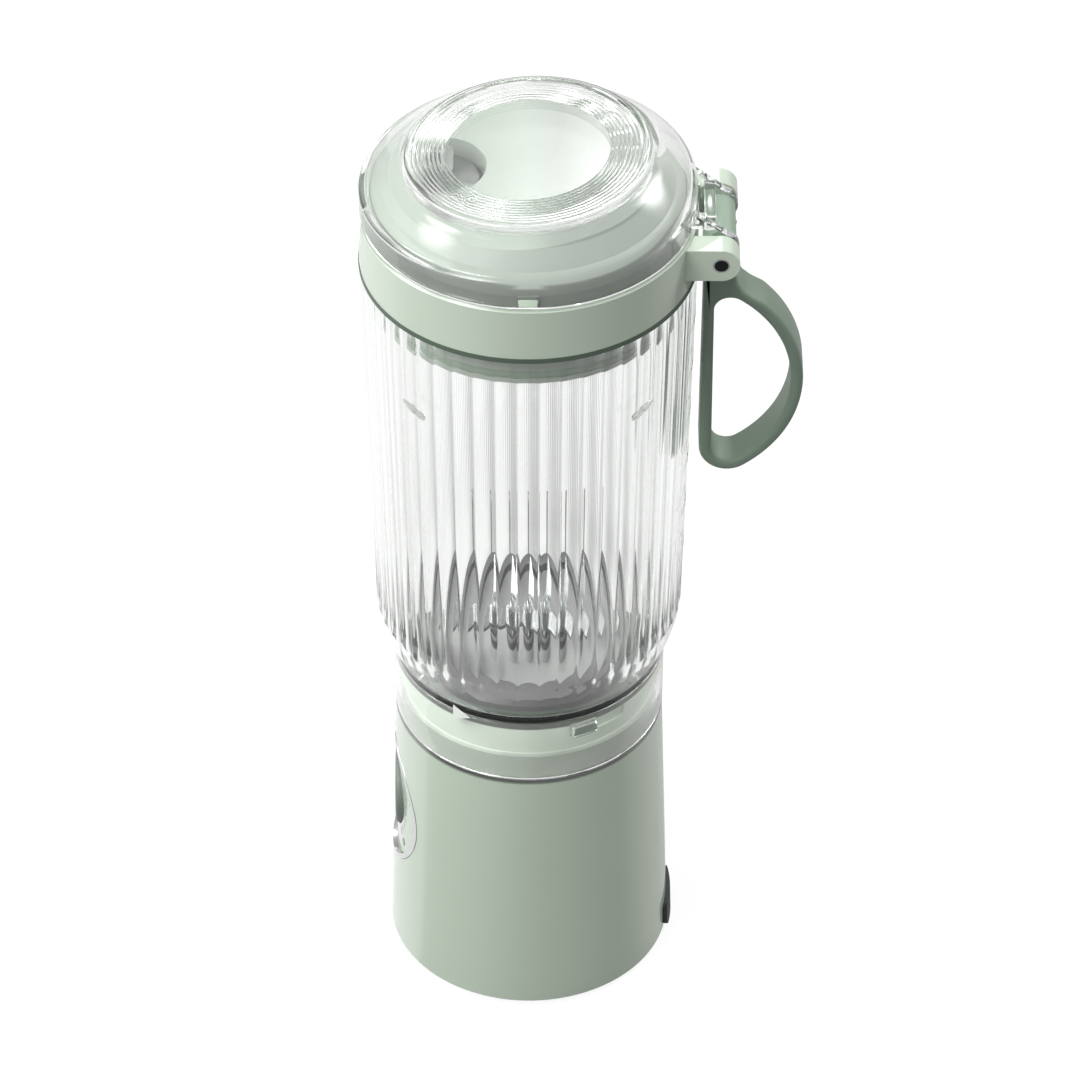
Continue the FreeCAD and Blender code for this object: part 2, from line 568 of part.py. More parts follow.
def make_base_shell():
    """Tapered outer casing with the control opening, the port and the screw bosses."""
    ledge_radius = base_radius(DECK_LEDGE_Z) - BASE_WALL - DECK_LEDGE_DEPTH
    ledge_foot_z = DECK_LEDGE_Z - DECK_LEDGE_THICKNESS - DECK_LEDGE_DEPTH
    shell = revolved([
        (base_radius(BASE_UNDERSIDE_Z) - BASE_WALL, BASE_UNDERSIDE_Z),
        (base_radius(BASE_UNDERSIDE_Z) - BASE_EDGE_ROUND, BASE_UNDERSIDE_Z),
        (base_radius(BASE_UNDERSIDE_Z + BASE_EDGE_ROUND), BASE_UNDERSIDE_Z + BASE_EDGE_ROUND),
        (BASE_TOP_RADIUS, BASE_TOP_Z),
        (BASE_TOP_RADIUS - BASE_WALL, BASE_TOP_Z),
        (base_radius(DECK_LEDGE_Z) - BASE_WALL, DECK_LEDGE_Z),
        (ledge_radius, DECK_LEDGE_Z),
        (ledge_radius, DECK_LEDGE_Z - DECK_LEDGE_THICKNESS),
        (base_radius(ledge_foot_z) - BASE_WALL, ledge_foot_z),
    ])
    boss_bottom = COVER_TOP_Z + SEAT_GAP
    bosses = [cylinder(BASE_BOSS_RADIUS, boss_bottom, boss_bottom + BASE_BOSS_HEIGHT, x, y)
              for x, y in base_screw_places()]
    inside = base_cone(-BASE_WALL / 2)
    shell = joined(shell, *[boss.common(inside) for boss in bosses])
    for x, y in base_screw_places():
        top = COVER_UNDERSIDE_Z + BASE_SCREW_HEAD_HEIGHT + BASE_SCREW_LENGTH + 0.5
        shell = shell.cut(cylinder(BASE_SCREW_RADIUS + SEAT_GAP, 0, top, x, y))
    shell = shell.cut(x_cylinder(BEZEL_RADIUS, -FAR, -MOTOR_RADIUS, 0, CONTROL_Z))
    port_hole = rounded_x_block(base_radius(0) - BASE_WALL - 5, FAR, PORT_HOLE_WIDTH / 2,
                                PORT_Z - PORT_HOLE_HEIGHT / 2, PORT_Z + PORT_HOLE_HEIGHT / 2,
                                PORT_HOLE_ROUND)
    return shell.cut(port_hole).cut(port_pocket(0.0, -PORT_POCKET_DEPTH, FAR))


def port_pocket(gap, inner_offset, outer_offset):
    """Rounded patch of the base's back, between two offsets from its outer surface."""
    patch = rounded_x_block(MOTOR_RADIUS, FAR, PORT_POCKET_WIDTH / 2 - gap,
                            PORT_POCKET_BOTTOM_Z + gap, PORT_POCKET_TOP_Z - gap,
                            PORT_CORNER_ROUND - gap)
    patch = patch.cut(base_cone(inner_offset))
    if outer_offset < FAR:
        patch = patch.common(base_cone(outer_offset))
    return patch


def make_port_cover():
    """Rubber flap over the charging port, with its plug."""
    flap = port_pocket(PORT_COVER_GAP, PORT_COVER_GAP - PORT_POCKET_DEPTH, PORT_COVER_PROUD)
    back = base_radius(PORT_Z)
    plug = rounded_x_block(back - BASE_WALL, back, PORT_PLUG_WIDTH / 2,
                           PORT_Z - PORT_PLUG_HEIGHT / 2, PORT_Z + PORT_PLUG_HEIGHT / 2,
                           PORT_PLUG_ROUND)
    return joined(flap, plug)


def make_bottom_cover():
    """Bottom plate with the pad's recess and the screw counterbores."""
    radius = base_radius(COVER_TOP_Z) - BASE_WALL - SEAT_GAP
    plate = cylinder(radius, COVER_UNDERSIDE_Z, COVER_TOP_Z)
    plate = plate.cut(cylinder(FOOT_PAD_RADIUS + SEAT_GAP, 0, COVER_UNDERSIDE_Z + FOOT_RECESS_DEPTH))
    for x, y in base_screw_places():
        plate = plate.cut(cylinder(BASE_SCREW_RADIUS + SEAT_GAP, 0, COVER_TOP_Z + 1, x, y))
        plate = plate.cut(cylinder(BASE_SCREW_HEAD_RADIUS + SEAT_GAP, 0,
                                   COVER_UNDERSIDE_Z + BASE_SCREW_HEAD_HEIGHT, x, y))
    return plate


def make_foot_pad():
    """Round rubber pad that the blender stands on."""
    return cylinder(FOOT_PAD_RADIUS, 0, COVER_UNDERSIDE_Z + FOOT_RECESS_DEPTH)


def screw(radius, length, head_radius, head_height, x, y, seat_z, direction):
    """Pan-head screw; its head touches seat_z, and its shank runs along direction (+1 or -1)."""
    shank_end = seat_z + direction * length
    head_end = seat_z - direction * head_height
    shank = cylinder(radius, min(seat_z, shank_end), max(seat_z, shank_end), x, y)
    head = cylinder(head_radius, min(seat_z, head_end), max(seat_z, head_end), x, y)
    return joined(shank, head)


def make_base_screws():
    """Screws that hold the bottom cover."""
    seat = COVER_UNDERSIDE_Z + BASE_SCREW_HEAD_HEIGHT
    return Part.makeCompound([
        screw(BASE_SCREW_RADIUS, BASE_SCREW_LENGTH, BASE_SCREW_HEAD_RADIUS,
              BASE_SCREW_HEAD_HEIGHT - SEAT_GAP, x, y, seat, 1)
        for x, y in base_screw_places()])


def make_trim_ring():
    """Thin bright ring on the casing's top edge."""
    outer = BASE_TOP_RADIUS + TRIM_PROUD
    return tube(outer, outer - TRIM_WIDTH, BASE_TOP_Z, BASE_TOP_Z + TRIM_HEIGHT)


def sector(outer, bottom, top, start_angle, sweep):
    """Solid wedge of a cylinder."""
    wedge = Part.makeCylinder(outer, top - bottom, Vector(0, 0, bottom), Z_AXIS, sweep)
    return turned(wedge, start_angle)


def make_top_deck():
    """Deck over the motor with the bayonet neck that the jar's skirt goes over."""
    recess_radius = NECK_RADIUS - NECK_WALL
    rim_inner = PEDESTAL_RADIUS - DECK_RIM_WALL
    collar_top = DECK_FLOOR_Z + DRIP_COLLAR_HEIGHT
    collar_inner = DRIP_COLLAR_RADIUS - DRIP_COLLAR_WALL
    deck = revolved([
        (SHAFT_HOLE_RADIUS, DECK_FLOOR_UNDERSIDE_Z),
        (rim_inner, DECK_FLOOR_UNDERSIDE_Z),
        (rim_inner, DECK_LEDGE_Z),
        (PEDESTAL_RADIUS, DECK_LEDGE_Z),
        (PEDESTAL_RADIUS, PEDESTAL_TOP_Z - PEDESTAL_RADIUS + NECK_RADIUS),
        (NECK_RADIUS, PEDESTAL_TOP_Z),
        (NECK_RADIUS, NECK_TOP_Z - 0.6),
        (NECK_RADIUS - 0.6, NECK_TOP_Z),
        (recess_radius, NECK_TOP_Z),
        (recess_radius, DECK_FLOOR_Z),
        (DRIP_COLLAR_RADIUS, DECK_FLOOR_Z),
        (DRIP_COLLAR_RADIUS, collar_top),
        (collar_inner, collar_top),
        (collar_inner, DECK_FLOOR_Z),
        (SHAFT_HOLE_RADIUS, DECK_FLOOR_Z),
    ])
    lug_inner = SKIRT_INNER_RADIUS - BAYONET_LUG_DEPTH
    slot_radius = lug_inner - LOOSE_GAP
    half_slot = math.degrees((BAYONET_LUG_WIDTH / 2 + LOOSE_GAP) / NECK_RADIUS)
    track_bottom = BAYONET_LUG_BOTTOM_Z - LOOSE_GAP
    track_top = BAYONET_LUG_BOTTOM_Z + BAYONET_LUG_HEIGHT + LOOSE_GAP
    core = cylinder(slot_radius, track_bottom - 1, NECK_TOP_Z + 1)
    slot = sector(NECK_RADIUS + 1, track_bottom, NECK_TOP_Z + 1, -half_slot, 2 * half_slot)
    track = sector(NECK_RADIUS + 1, track_bottom, track_top, half_slot - 1, BAYONET_TURN + 1)
    ways = [slot.cut(core), track.cut(core)]
    for way in ways:
        deck = deck.cut(Part.makeCompound(around(way, BAYONET_COUNT, BAYONET_FIRST_ANGLE)))
    for x, y in bracket_screw_places():
        hole_top = MOTOR_TOP_Z + BRACKET_SCREW_LENGTH + SEAT_GAP
        deck = deck.cut(cylinder(MOTOR_SCREW_RADIUS + SEAT_GAP, MOTOR_TOP_Z, hole_top, x, y))
    return deck.cut(cylinder(MOTOR_BOSS_RADIUS + SEAT_GAP, MOTOR_TOP_Z,
                             MOTOR_TOP_Z + MOTOR_BOSS_HEIGHT + SEAT_GAP))


def motor_screw_places():
    """Centres of the two screws that hold the motor to its bracket."""
    return [(MOTOR_SCREW_SPREAD, 0.0), (-MOTOR_SCREW_SPREAD, 0.0)]


def bracket_screw_places():
    """Centres of the screws that hold the bracket to the deck."""
    angles = [math.radians(360 * i / BRACKET_SCREW_COUNT) for i in range(BRACKET_SCREW_COUNT)]
    return [(BRACKET_SCREW_SPREAD * math.cos(a), BRACKET_SCREW_SPREAD * math.sin(a)) for a in angles]


def make_motor_can():
    """Motor housing with its bearing boss and the bore that its shaft turns in."""
    bottom = MOTOR_TOP_Z - MOTOR_LENGTH
    can = revolved([
        (0, bottom),
        (MOTOR_RADIUS - MOTOR_EDGE, bottom),
        (MOTOR_RADIUS, bottom + MOTOR_EDGE),
        (MOTOR_RADIUS, MOTOR_TOP_Z - MOTOR_EDGE),
        (MOTOR_RADIUS - MOTOR_EDGE, MOTOR_TOP_Z),
        (MOTOR_BOSS_RADIUS, MOTOR_TOP_Z),
        (MOTOR_BOSS_RADIUS, MOTOR_TOP_Z + MOTOR_BOSS_HEIGHT),
        (0, MOTOR_TOP_Z + MOTOR_BOSS_HEIGHT),
    ])
    bore_bottom = MOTOR_TOP_Z - MOTOR_SHAFT_DEPTH - LOOSE_GAP
    can = can.cut(cylinder(MOTOR_SHAFT_RADIUS + BORE_GAP, bore_bottom, MOTOR_TOP_Z + 5))
    for x, y in motor_screw_places():
        hole_bottom = MOTOR_TOP_Z + BRACKET_THICKNESS - MOTOR_SCREW_LENGTH - SEAT_GAP
        can = can.cut(cylinder(MOTOR_SCREW_RADIUS + SEAT_GAP, hole_bottom, MOTOR_TOP_Z + 1, x, y))
    return can


def make_motor_bracket():
    """Steel plate between the motor and the deck."""
    top = MOTOR_TOP_Z + BRACKET_THICKNESS
    plate = tube(BRACKET_RADIUS, MOTOR_BOSS_RADIUS + SEAT_GAP, MOTOR_TOP_Z, top)
    for x, y in motor_screw_places():
        plate = plate.cut(countersunk(x, y, top, SEAT_GAP, top - MOTOR_TOP_Z + 1))
    for x, y in bracket_screw_places():
        plate = plate.cut(cylinder(MOTOR_SCREW_RADIUS + SEAT_GAP, MOTOR_TOP_Z - 1, top + 1, x, y))
    return plate


def countersunk(x, y, top, gap, length):
    """Countersunk screw, or with a gap the hole for one, flush at its top."""
    head_depth = MOTOR_SCREW_RADIUS
    head = Part.makeCone(MOTOR_SCREW_RADIUS + gap, 2 * MOTOR_SCREW_RADIUS + gap, head_depth,
                         Vector(x, y, top - head_depth))
    return joined(head, cylinder(MOTOR_SCREW_RADIUS + gap, top - length, top - head_depth, x, y))


def make_motor_screws():
    """Countersunk screws from the bracket into the motor."""
    top = MOTOR_TOP_Z + BRACKET_THICKNESS
    return Part.makeCompound([countersunk(x, y, top, 0.0, MOTOR_SCREW_LENGTH)
                              for x, y in motor_screw_places()])


def make_bracket_screws():
    """Screws from under the bracket into the deck."""
    return Part.makeCompound([
        screw(MOTOR_SCREW_RADIUS, BRACKET_SCREW_LENGTH, BRACKET_SCREW_HEAD_RADIUS,
              BRACKET_SCREW_HEAD_HEIGHT, x, y, MOTOR_TOP_Z, 1)
        for x, y in bracket_screw_places()])


def make_battery_cells():
    """Two round cells that stand on either side of the motor."""
    cells = []
    for y in (-CELL_SPREAD, CELL_SPREAD):
        body = cylinder(CELL_RADIUS, CELL_BOTTOM_Z, CELL_BOTTOM_Z + CELL_LENGTH - CELL_BUTTON_HEIGHT, 0, y)
        tip = cylinder(CELL_RADIUS / 3, CELL_BOTTOM_Z, CELL_BOTTOM_Z + CELL_LENGTH, 0, y)
        cells.append(joined(body, tip))
    return Part.makeCompound(cells)


def make_battery_cradle():
    """Moulded cradle with a cup for each cell."""
    outer = CELL_RADIUS + SEAT_GAP + CRADLE_WALL
    cups = [cylinder(outer, CRADLE_BOTTOM_Z, CRADLE_BOTTOM_Z + CRADLE_HEIGHT, 0, y)
            for y in (-CELL_SPREAD, CELL_SPREAD)]
    half = CRADLE_BRIDGE_WIDTH / 2
    bridge = block(-half, half, -CELL_SPREAD, CELL_SPREAD, CRADLE_BOTTOM_Z,
                   CRADLE_BOTTOM_Z + 2 * CRADLE_FLOOR)
    cradle = joined(bridge, *cups)
    for y in (-CELL_SPREAD, CELL_SPREAD):
        cradle = cradle.cut(cylinder(CELL_RADIUS + SEAT_GAP, CELL_BOTTOM_Z,
                                     CRADLE_BOTTOM_Z + CRADLE_HEIGHT + 1, 0, y))
    return cradle


def make_motor_shaft():
    """Motor shaft."""
    return cylinder(MOTOR_SHAFT_RADIUS, MOTOR_TOP_Z - MOTOR_SHAFT_DEPTH, MOTOR_SHAFT_TOP_Z)


def star(outer, root, bottom, top):
    """Prism with a ring of lobes, for the drive couplers."""
    points = []
    for i in range(2 * COUPLER_LOBES):
        radius = outer if i % 2 == 0 else root
        for side in (-0.5, 0.5):
            angle = math.pi * (i + 0.7 * side) / COUPLER_LOBES
            points.append((radius * math.cos(angle), radius * math.sin(angle)))
    return flat_prism(points, bottom, top)


def make_drive_coupler():
    """Lobed driver on the motor shaft."""
    driver = star(DRIVE_COUPLER_RADIUS, DRIVE_COUPLER_ROOT, DRIVE_COUPLER_BOTTOM_Z,
                  DRIVE_COUPLER_TOP_Z)
    return driver.cut(cylinder(MOTOR_SHAFT_RADIUS + PRESS_GAP, DRIVE_COUPLER_BOTTOM_Z - 1,
                               MOTOR_SHAFT_TOP_Z + SEAT_GAP))


# ---- control knob and electronics -------------------------------------------------------
def front_cylinder(radius):
    """Cylinder along X round the knob's axis, from inside the base out past its front."""
    return x_cylinder(radius, -FAR, -MOTOR_RADIUS, 0, CONTROL_Z)


def make_control_bezel():
    """Bright ring round the control plate, curved with the casing."""
    ring = front_cylinder(BEZEL_RADIUS - SEAT_GAP).cut(front_cylinder(BEZEL_RADIUS - BEZEL_WIDTH))
    return ring.common(base_cone(BEZEL_PROUD)).cut(base_cone(-BASE_WALL))


def make_control_plate():
    """Recessed plate round the knob, with the posts that carry the control board."""
    disc = front_cylinder(BEZEL_RADIUS - BEZEL_WIDTH - SEAT_GAP)
    disc = disc.common(base_cone(-PLATE_RECESS)).cut(base_cone(-PLATE_RECESS - PLATE_THICKNESS))
    middle = base_cone(-PLATE_RECESS - PLATE_THICKNESS / 2)
    posts = [x_cylinder(POST_RADIUS, -FAR, BOARD_FRONT_X, y, CONTROL_Z + z).common(middle)
             for y in (-POST_SPREAD, POST_SPREAD) for z in (-POST_SPREAD, POST_SPREAD)]
    plate = joined(disc, *posts)
    return plate.cut(front_cylinder(KNOB_RADIUS + SWING_GAP))


def make_control_knob():
    """Round knob with a pointer groove in its face."""
    knob = x_cylinder(KNOB_RADIUS, KNOB_FACE_X, KNOB_FACE_X + KNOB_DEPTH, 0, CONTROL_Z)
    rim = [edge for edge in knob.Edges
           if abs(edge.BoundBox.XMax - KNOB_FACE_X) < 1e-6 and edge.BoundBox.YLength > KNOB_RADIUS]
    knob = knob.makeFillet(KNOB_EDGE_ROUND, rim)
    mark_top = CONTROL_Z + KNOB_RADIUS - 2 * KNOB_EDGE_ROUND
    mark = block(KNOB_FACE_X - 1, KNOB_FACE_X + KNOB_MARK_DEPTH, -KNOB_MARK_WIDTH / 2,
                 KNOB_MARK_WIDTH / 2, mark_top - KNOB_MARK_LENGTH, mark_top)
    socket = x_cylinder(KNOB_SHAFT_RADIUS + PRESS_GAP, KNOB_BACK_X - KNOB_DEPTH / 2,
                        KNOB_BACK_X + KNOB_DEPTH, 0, CONTROL_Z)
    return knob.cut(mark).cut(socket)


def make_knob_shaft():
    """Switch spindle that the knob is pressed on."""
    return x_cylinder(KNOB_SHAFT_RADIUS, KNOB_BACK_X - KNOB_DEPTH / 2 + SEAT_GAP,
                      SWITCH_FRONT_X + SWITCH_DEPTH / 2, 0, CONTROL_Z)


def make_rotary_switch():
    """Body of the rotary switch, bored for its spindle."""
    half = SWITCH_SIZE / 2
    body = block(SWITCH_FRONT_X, BOARD_FRONT_X, -half, half, CONTROL_Z - half, CONTROL_Z + half)
    bore_end = SWITCH_FRONT_X + SWITCH_DEPTH / 2 + LOOSE_GAP
    return body.cut(x_cylinder(KNOB_SHAFT_RADIUS + BORE_GAP, SWITCH_FRONT_X - 1, bore_end, 0,
                               CONTROL_Z))


def make_control_board():
    """Circuit board behind the knob."""
    half_width = CONTROL_BOARD_WIDTH / 2
    half_height = CONTROL_BOARD_HEIGHT / 2
    return block(BOARD_FRONT_X, BOARD_FRONT_X + BOARD_THICKNESS, -half_width, half_width,
                 CONTROL_Z - half_height, CONTROL_Z + half_height)


def socket_front_x():
    """Mouth of the charging socket, behind the port hole."""
    return base_radius(PORT_Z) - BASE_WALL - SOCKET_SETBACK


def make_usb_socket():
    """Charging socket shell, open to the back."""
    front = socket_front_x()
    bottom = COVER_TOP_Z + SEAT_GAP + BOARD_THICKNESS
    body = rounded_x_block(front - SOCKET_DEPTH, front, SOCKET_WIDTH / 2, bottom,
                           bottom + SOCKET_HEIGHT, SOCKET_ROUND)
    mouth = rounded_x_block(front - SOCKET_DEPTH + 1, front + 1, SOCKET_WIDTH / 2 - SOCKET_WALL,
                            bottom + SOCKET_WALL, bottom + SOCKET_HEIGHT - SOCKET_WALL,
                            SOCKET_ROUND - SOCKET_WALL)
    blade_z = bottom + SOCKET_HEIGHT / 2
    blade = block(front - SOCKET_DEPTH, front - 1, -SOCKET_WIDTH / 3, SOCKET_WIDTH / 3,
                  blade_z - SOCKET_WALL, blade_z + SOCKET_WALL)
    return joined(body.cut(mouth), blade)


def make_charge_board():
    """Charging circuit board on the bottom cover, under the socket."""
    back = socket_front_x() - 1
    bottom = COVER_TOP_Z + SEAT_GAP
    half = CHARGE_BOARD_WIDTH / 2
    return block(back - CHARGE_BOARD_LENGTH, back, -half, half, bottom, bottom + BOARD_THICKNESS)


def make_interlock_sensor():
    """Sensor under the deck that finds the magnet of a fitted jar."""
    top = DECK_FLOOR_UNDERSIDE_Z - SEAT_GAP
    half = SENSOR_WIDTH / 2
    return block(SENSOR_X - SENSOR_LENGTH / 2, SENSOR_X + SENSOR_LENGTH / 2, -half, half,
                 top - BOARD_THICKNESS, top)


# ---- jar --------------------------------------------------------------------------------
def jar_radius(z):
    """Ridge radius of the tapered jar body at a height."""
    share = (z - JAR_BODY_BOTTOM_Z) / (JAR_BODY_TOP_Z - JAR_BODY_BOTTOM_Z)
    return JAR_BODY_BOTTOM_RADIUS + share * (JAR_BODY_TOP_RADIUS - JAR_BODY_BOTTOM_RADIUS)


def fluted_wire(z):
    """Closed ring of shallow hollow arcs between sharp ridges."""
    ridge = jar_radius(z)
    hollow = ridge - FLUTE_DEPTH
    step = 2 * math.pi / FLUTE_COUNT

    def point(radius, angle):
        return Vector(radius * math.cos(angle), radius * math.sin(angle), z)

    arcs = []
    for i in range(FLUTE_COUNT):
        start = (i - 0.5) * step
        arcs.append(Part.Arc(point(ridge, start), point(hollow, start + step / 2),
                             point(ridge, start + step)).toShape())
    return Part.Wire(arcs)


def make_jar():
    """Clear jar: fluted body, plain neck, floor ledge, and skirt with bayonet lugs."""
    envelope = revolved([
        (0, SKIRT_BOTTOM_Z),
        (SKIRT_BOTTOM_RADIUS, SKIRT_BOTTOM_Z),
        (SKIRT_TOP_RADIUS, SKIRT_TOP_Z),
        (SHOULDER_FOOT_RADIUS, SHOULDER_FOOT_Z),
        ((JAR_BODY_BOTTOM_RADIUS - SHOULDER_BULGE_RADIUS, JAR_BODY_BOTTOM_Z - SHOULDER_BULGE_HEIGHT),
         (JAR_BODY_BOTTOM_RADIUS, JAR_BODY_BOTTOM_Z)),
        (JAR_BODY_TOP_RADIUS, JAR_BODY_TOP_Z),
        (0, JAR_BODY_TOP_Z),
    ])
    flutes = Part.makeLoft([fluted_wire(SKIRT_BOTTOM_Z), fluted_wire(JAR_BODY_TOP_Z)],
                           True, True)
    neck = revolved([
        (0, JAR_BODY_TOP_Z - JAR_NECK_STEP),
        (JAR_NECK_RADIUS, JAR_BODY_TOP_Z - JAR_NECK_STEP),
        (JAR_NECK_RADIUS, JAR_MOUTH_Z - JAR_MOUTH_CHAMFER),
        (JAR_NECK_RADIUS - JAR_MOUTH_CHAMFER, JAR_MOUTH_Z),
        (0, JAR_MOUTH_Z),
    ])
    cavity = revolved([
        (0, JAR_FLOOR_Z),
        (JAR_INNER_BOTTOM_RADIUS - JAR_FLOOR_INSET, JAR_FLOOR_Z),
        ((JAR_INNER_BOTTOM_RADIUS - JAR_CORNER_INSET, JAR_BODY_BOTTOM_Z - JAR_CORNER_DROP),
         (JAR_INNER_BOTTOM_RADIUS, JAR_BODY_BOTTOM_Z)),
        (JAR_MOUTH_RADIUS, JAR_MOUTH_Z),
        (JAR_MOUTH_RADIUS, JAR_MOUTH_Z + 1),
        (0, JAR_MOUTH_Z + 1),
    ])
    jar = envelope.common(flutes).fuse(neck).cut(cavity)
    jar = jar.cut(cylinder(SKIRT_INNER_RADIUS, SKIRT_BOTTOM_Z - 1, JAR_LEDGE_UNDERSIDE_Z))
    jar = jar.cut(cylinder(JAR_FLOOR_HOLE_RADIUS, JAR_LEDGE_UNDERSIDE_Z - 1, JAR_FLOOR_Z + 1))
    half_rib = RIB_WIDTH / 2
    rib = block(RIB_INNER_RADIUS, JAR_INNER_BOTTOM_RADIUS + 1, -half_rib, half_rib,
                JAR_FLOOR_Z - 1, JAR_FLOOR_Z + RIB_HEIGHT).common(envelope)
    half_lug = BAYONET_LUG_WIDTH / 2
    lug = block(SKIRT_INNER_RADIUS - BAYONET_LUG_DEPTH, SKIRT_INNER_RADIUS + 1, -half_lug,
                half_lug, BAYONET_LUG_BOTTOM_Z, BAYONET_LUG_BOTTOM_Z + BAYONET_LUG_HEIGHT)
    return joined(jar, *around(rib, RIB_COUNT, RIB_FIRST_ANGLE),
                  *around(lug, BAYONET_COUNT, BAYONET_FIRST_ANGLE))


# ---- blade unit -------------------------------------------------------------------------
def make_carrier_gasket():
    """Silicone ring between the jar's floor and the blade carrier."""
    return tube(CARRIER_FLANGE_RADIUS - LOOSE_GAP, JAR_FLOOR_HOLE_RADIUS, JAR_FLOOR_Z,
                CARRIER_FLANGE_BOTTOM_Z)


def make_blade_carrier():
    """Grey bowl with the bearing hub, hung in the jar's floor by its flange."""
    return revolved([
        (BLADE_SHAFT_RADIUS + BLADE_SHAFT_HOLE_GAP, BOWL_UNDERSIDE_Z),
        (BOWL_FLOOR_RADIUS, BOWL_UNDERSIDE_Z),
        (BOWL_OUTER_RADIUS, BOWL_UNDERSIDE_Z + BOWL_OUTER_RADIUS - BOWL_FLOOR_RADIUS),
        (BOWL_OUTER_RADIUS, CARRIER_FLANGE_BOTTOM_Z),
        (CARRIER_FLANGE_RADIUS, CARRIER_FLANGE_BOTTOM_Z),
        (CARRIER_FLANGE_RADIUS, CARRIER_FLANGE_TOP_Z - CARRIER_CHAMFER),
        (CARRIER_FLANGE_RADIUS - CARRIER_CHAMFER, CARRIER_FLANGE_TOP_Z),
        (BOWL_RADIUS, CARRIER_FLANGE_TOP_Z),
        ((BOWL_RADIUS - BOWL_WALL, BOWL_FLOOR_Z + BOWL_CURVE_HEIGHT), (BOWL_FLOOR_RADIUS, BOWL_FLOOR_Z)),
        (HUB_RADIUS, BOWL_FLOOR_Z),
        (HUB_RADIUS, HUB_TOP_Z - CARRIER_CHAMFER),
        (HUB_RADIUS - CARRIER_CHAMFER, HUB_TOP_Z),
        (HUB_BORE_RADIUS, HUB_TOP_Z),
        (HUB_BORE_RADIUS, BOWL_UNDERSIDE_Z + BUSH_SEAT),
        (BLADE_SHAFT_RADIUS + BLADE_SHAFT_HOLE_GAP, BOWL_UNDERSIDE_Z + BUSH_SEAT),
    ])


def make_carrier_nut():
    """Ring nut under the jar's floor, with key notches and the magnet's pocket."""
    nut = tube(CARRIER_NUT_RADIUS, BOWL_OUTER_RADIUS + SEAT_GAP, CARRIER_NUT_BOTTOM_Z,
               CARRIER_NUT_TOP_Z)
    half = CARRIER_NUT_NOTCH_WIDTH / 2
    notch = block(CARRIER_NUT_RADIUS - CARRIER_NUT_NOTCH_DEPTH, CARRIER_NUT_RADIUS + 1, -half, half,
                  CARRIER_NUT_BOTTOM_Z - 1, CARRIER_NUT_BOTTOM_Z + CARRIER_NUT_HEIGHT / 2)
    nut = nut.cut(Part.makeCompound(around(notch, CARRIER_NUT_NOTCHES, 180 / CARRIER_NUT_NOTCHES)))
    return nut.cut(cylinder(MAGNET_RADIUS + SEAT_GAP / 2, CARRIER_NUT_BOTTOM_Z - 1,
                            CARRIER_NUT_BOTTOM_Z + MAGNET_HEIGHT, magnet_x()))


def magnet_x():
    """Magnet's distance from the blender axis, in the middle of the nut's wall."""
    return (CARRIER_NUT_RADIUS + BOWL_OUTER_RADIUS) / 2


def make_interlock_magnet():
    """Small magnet in the ring nut."""
    return cylinder(MAGNET_RADIUS, CARRIER_NUT_BOTTOM_Z, CARRIER_NUT_BOTTOM_Z + MAGNET_HEIGHT,
                    magnet_x())


def make_bearing_bush():
    """Bronze bush that the blade shaft turns in."""
    return tube(HUB_BORE_RADIUS - PRESS_GAP, BLADE_SHAFT_RADIUS + BORE_GAP,
                BOWL_UNDERSIDE_Z + BUSH_SEAT, HUB_TOP_Z - SEAL_HEIGHT)


def make_shaft_seal():
    """Lip seal over the bush."""
    return tube(HUB_BORE_RADIUS - PRESS_GAP, BLADE_SHAFT_RADIUS + BORE_GAP,
                HUB_TOP_Z - SEAL_HEIGHT, HUB_TOP_Z)


def make_blade_shaft():
    """Blade shaft with the shoulder that the blades sit on."""
    shaft_bottom = DRIVEN_COUPLER_TOP_Z - DRIVEN_COUPLER_WEB
    shaft = cylinder(BLADE_SHAFT_RADIUS, shaft_bottom, BLADE_SHAFT_TOP_Z)
    shoulder = cylinder(HUB_BORE_RADIUS, HUB_TOP_Z + LOOSE_GAP, BLADE_SEAT_Z)
    return joined(shaft, shoulder)


def blade(seat_z, reach, rise, angle):
    """Two-armed blade: a flat middle, with pointed arms that bend up or down."""
    half = BLADE_HALF_WIDTH
    bend = BLADE_FLAT_REACH
    top = seat_z + BLADE_THICKNESS
    middle = block(-bend, bend, -half, half, seat_z, top)
    profile = [(bend - BLADE_ROOT_OVERLAP, seat_z), (reach, seat_z + rise), (reach, top + rise), (bend - BLADE_ROOT_OVERLAP, top)]
    arm = side_prism(profile, -half, half)
    root = bend - BLADE_ROOT_OVERLAP
    tip = [(root, -half), (root, half), (reach + BLADE_ROOT_OVERLAP, half),
           (reach - BLADE_TIP_SLANT, -half)]
    arm = arm.common(flat_prism(tip, seat_z - reach, top + reach))
    other = turned(arm, 180)
    body = joined(middle, arm, other)
    hole = cylinder(BLADE_SHAFT_RADIUS + PRESS_GAP, seat_z - 1, top + 1)
    return turned(body.cut(hole), angle)


def make_lower_blade():
    """Lower blade, bent down over the hub."""
    return blade(BLADE_SEAT_Z, LOWER_BLADE_REACH, -LOWER_BLADE_DROP, LOWER_BLADE_ANGLE)


def make_upper_blade():
    """Upper blade, bent up."""
    return blade(BLADE_SEAT_Z + BLADE_THICKNESS, UPPER_BLADE_REACH, UPPER_BLADE_RISE,
                 UPPER_BLADE_ANGLE)


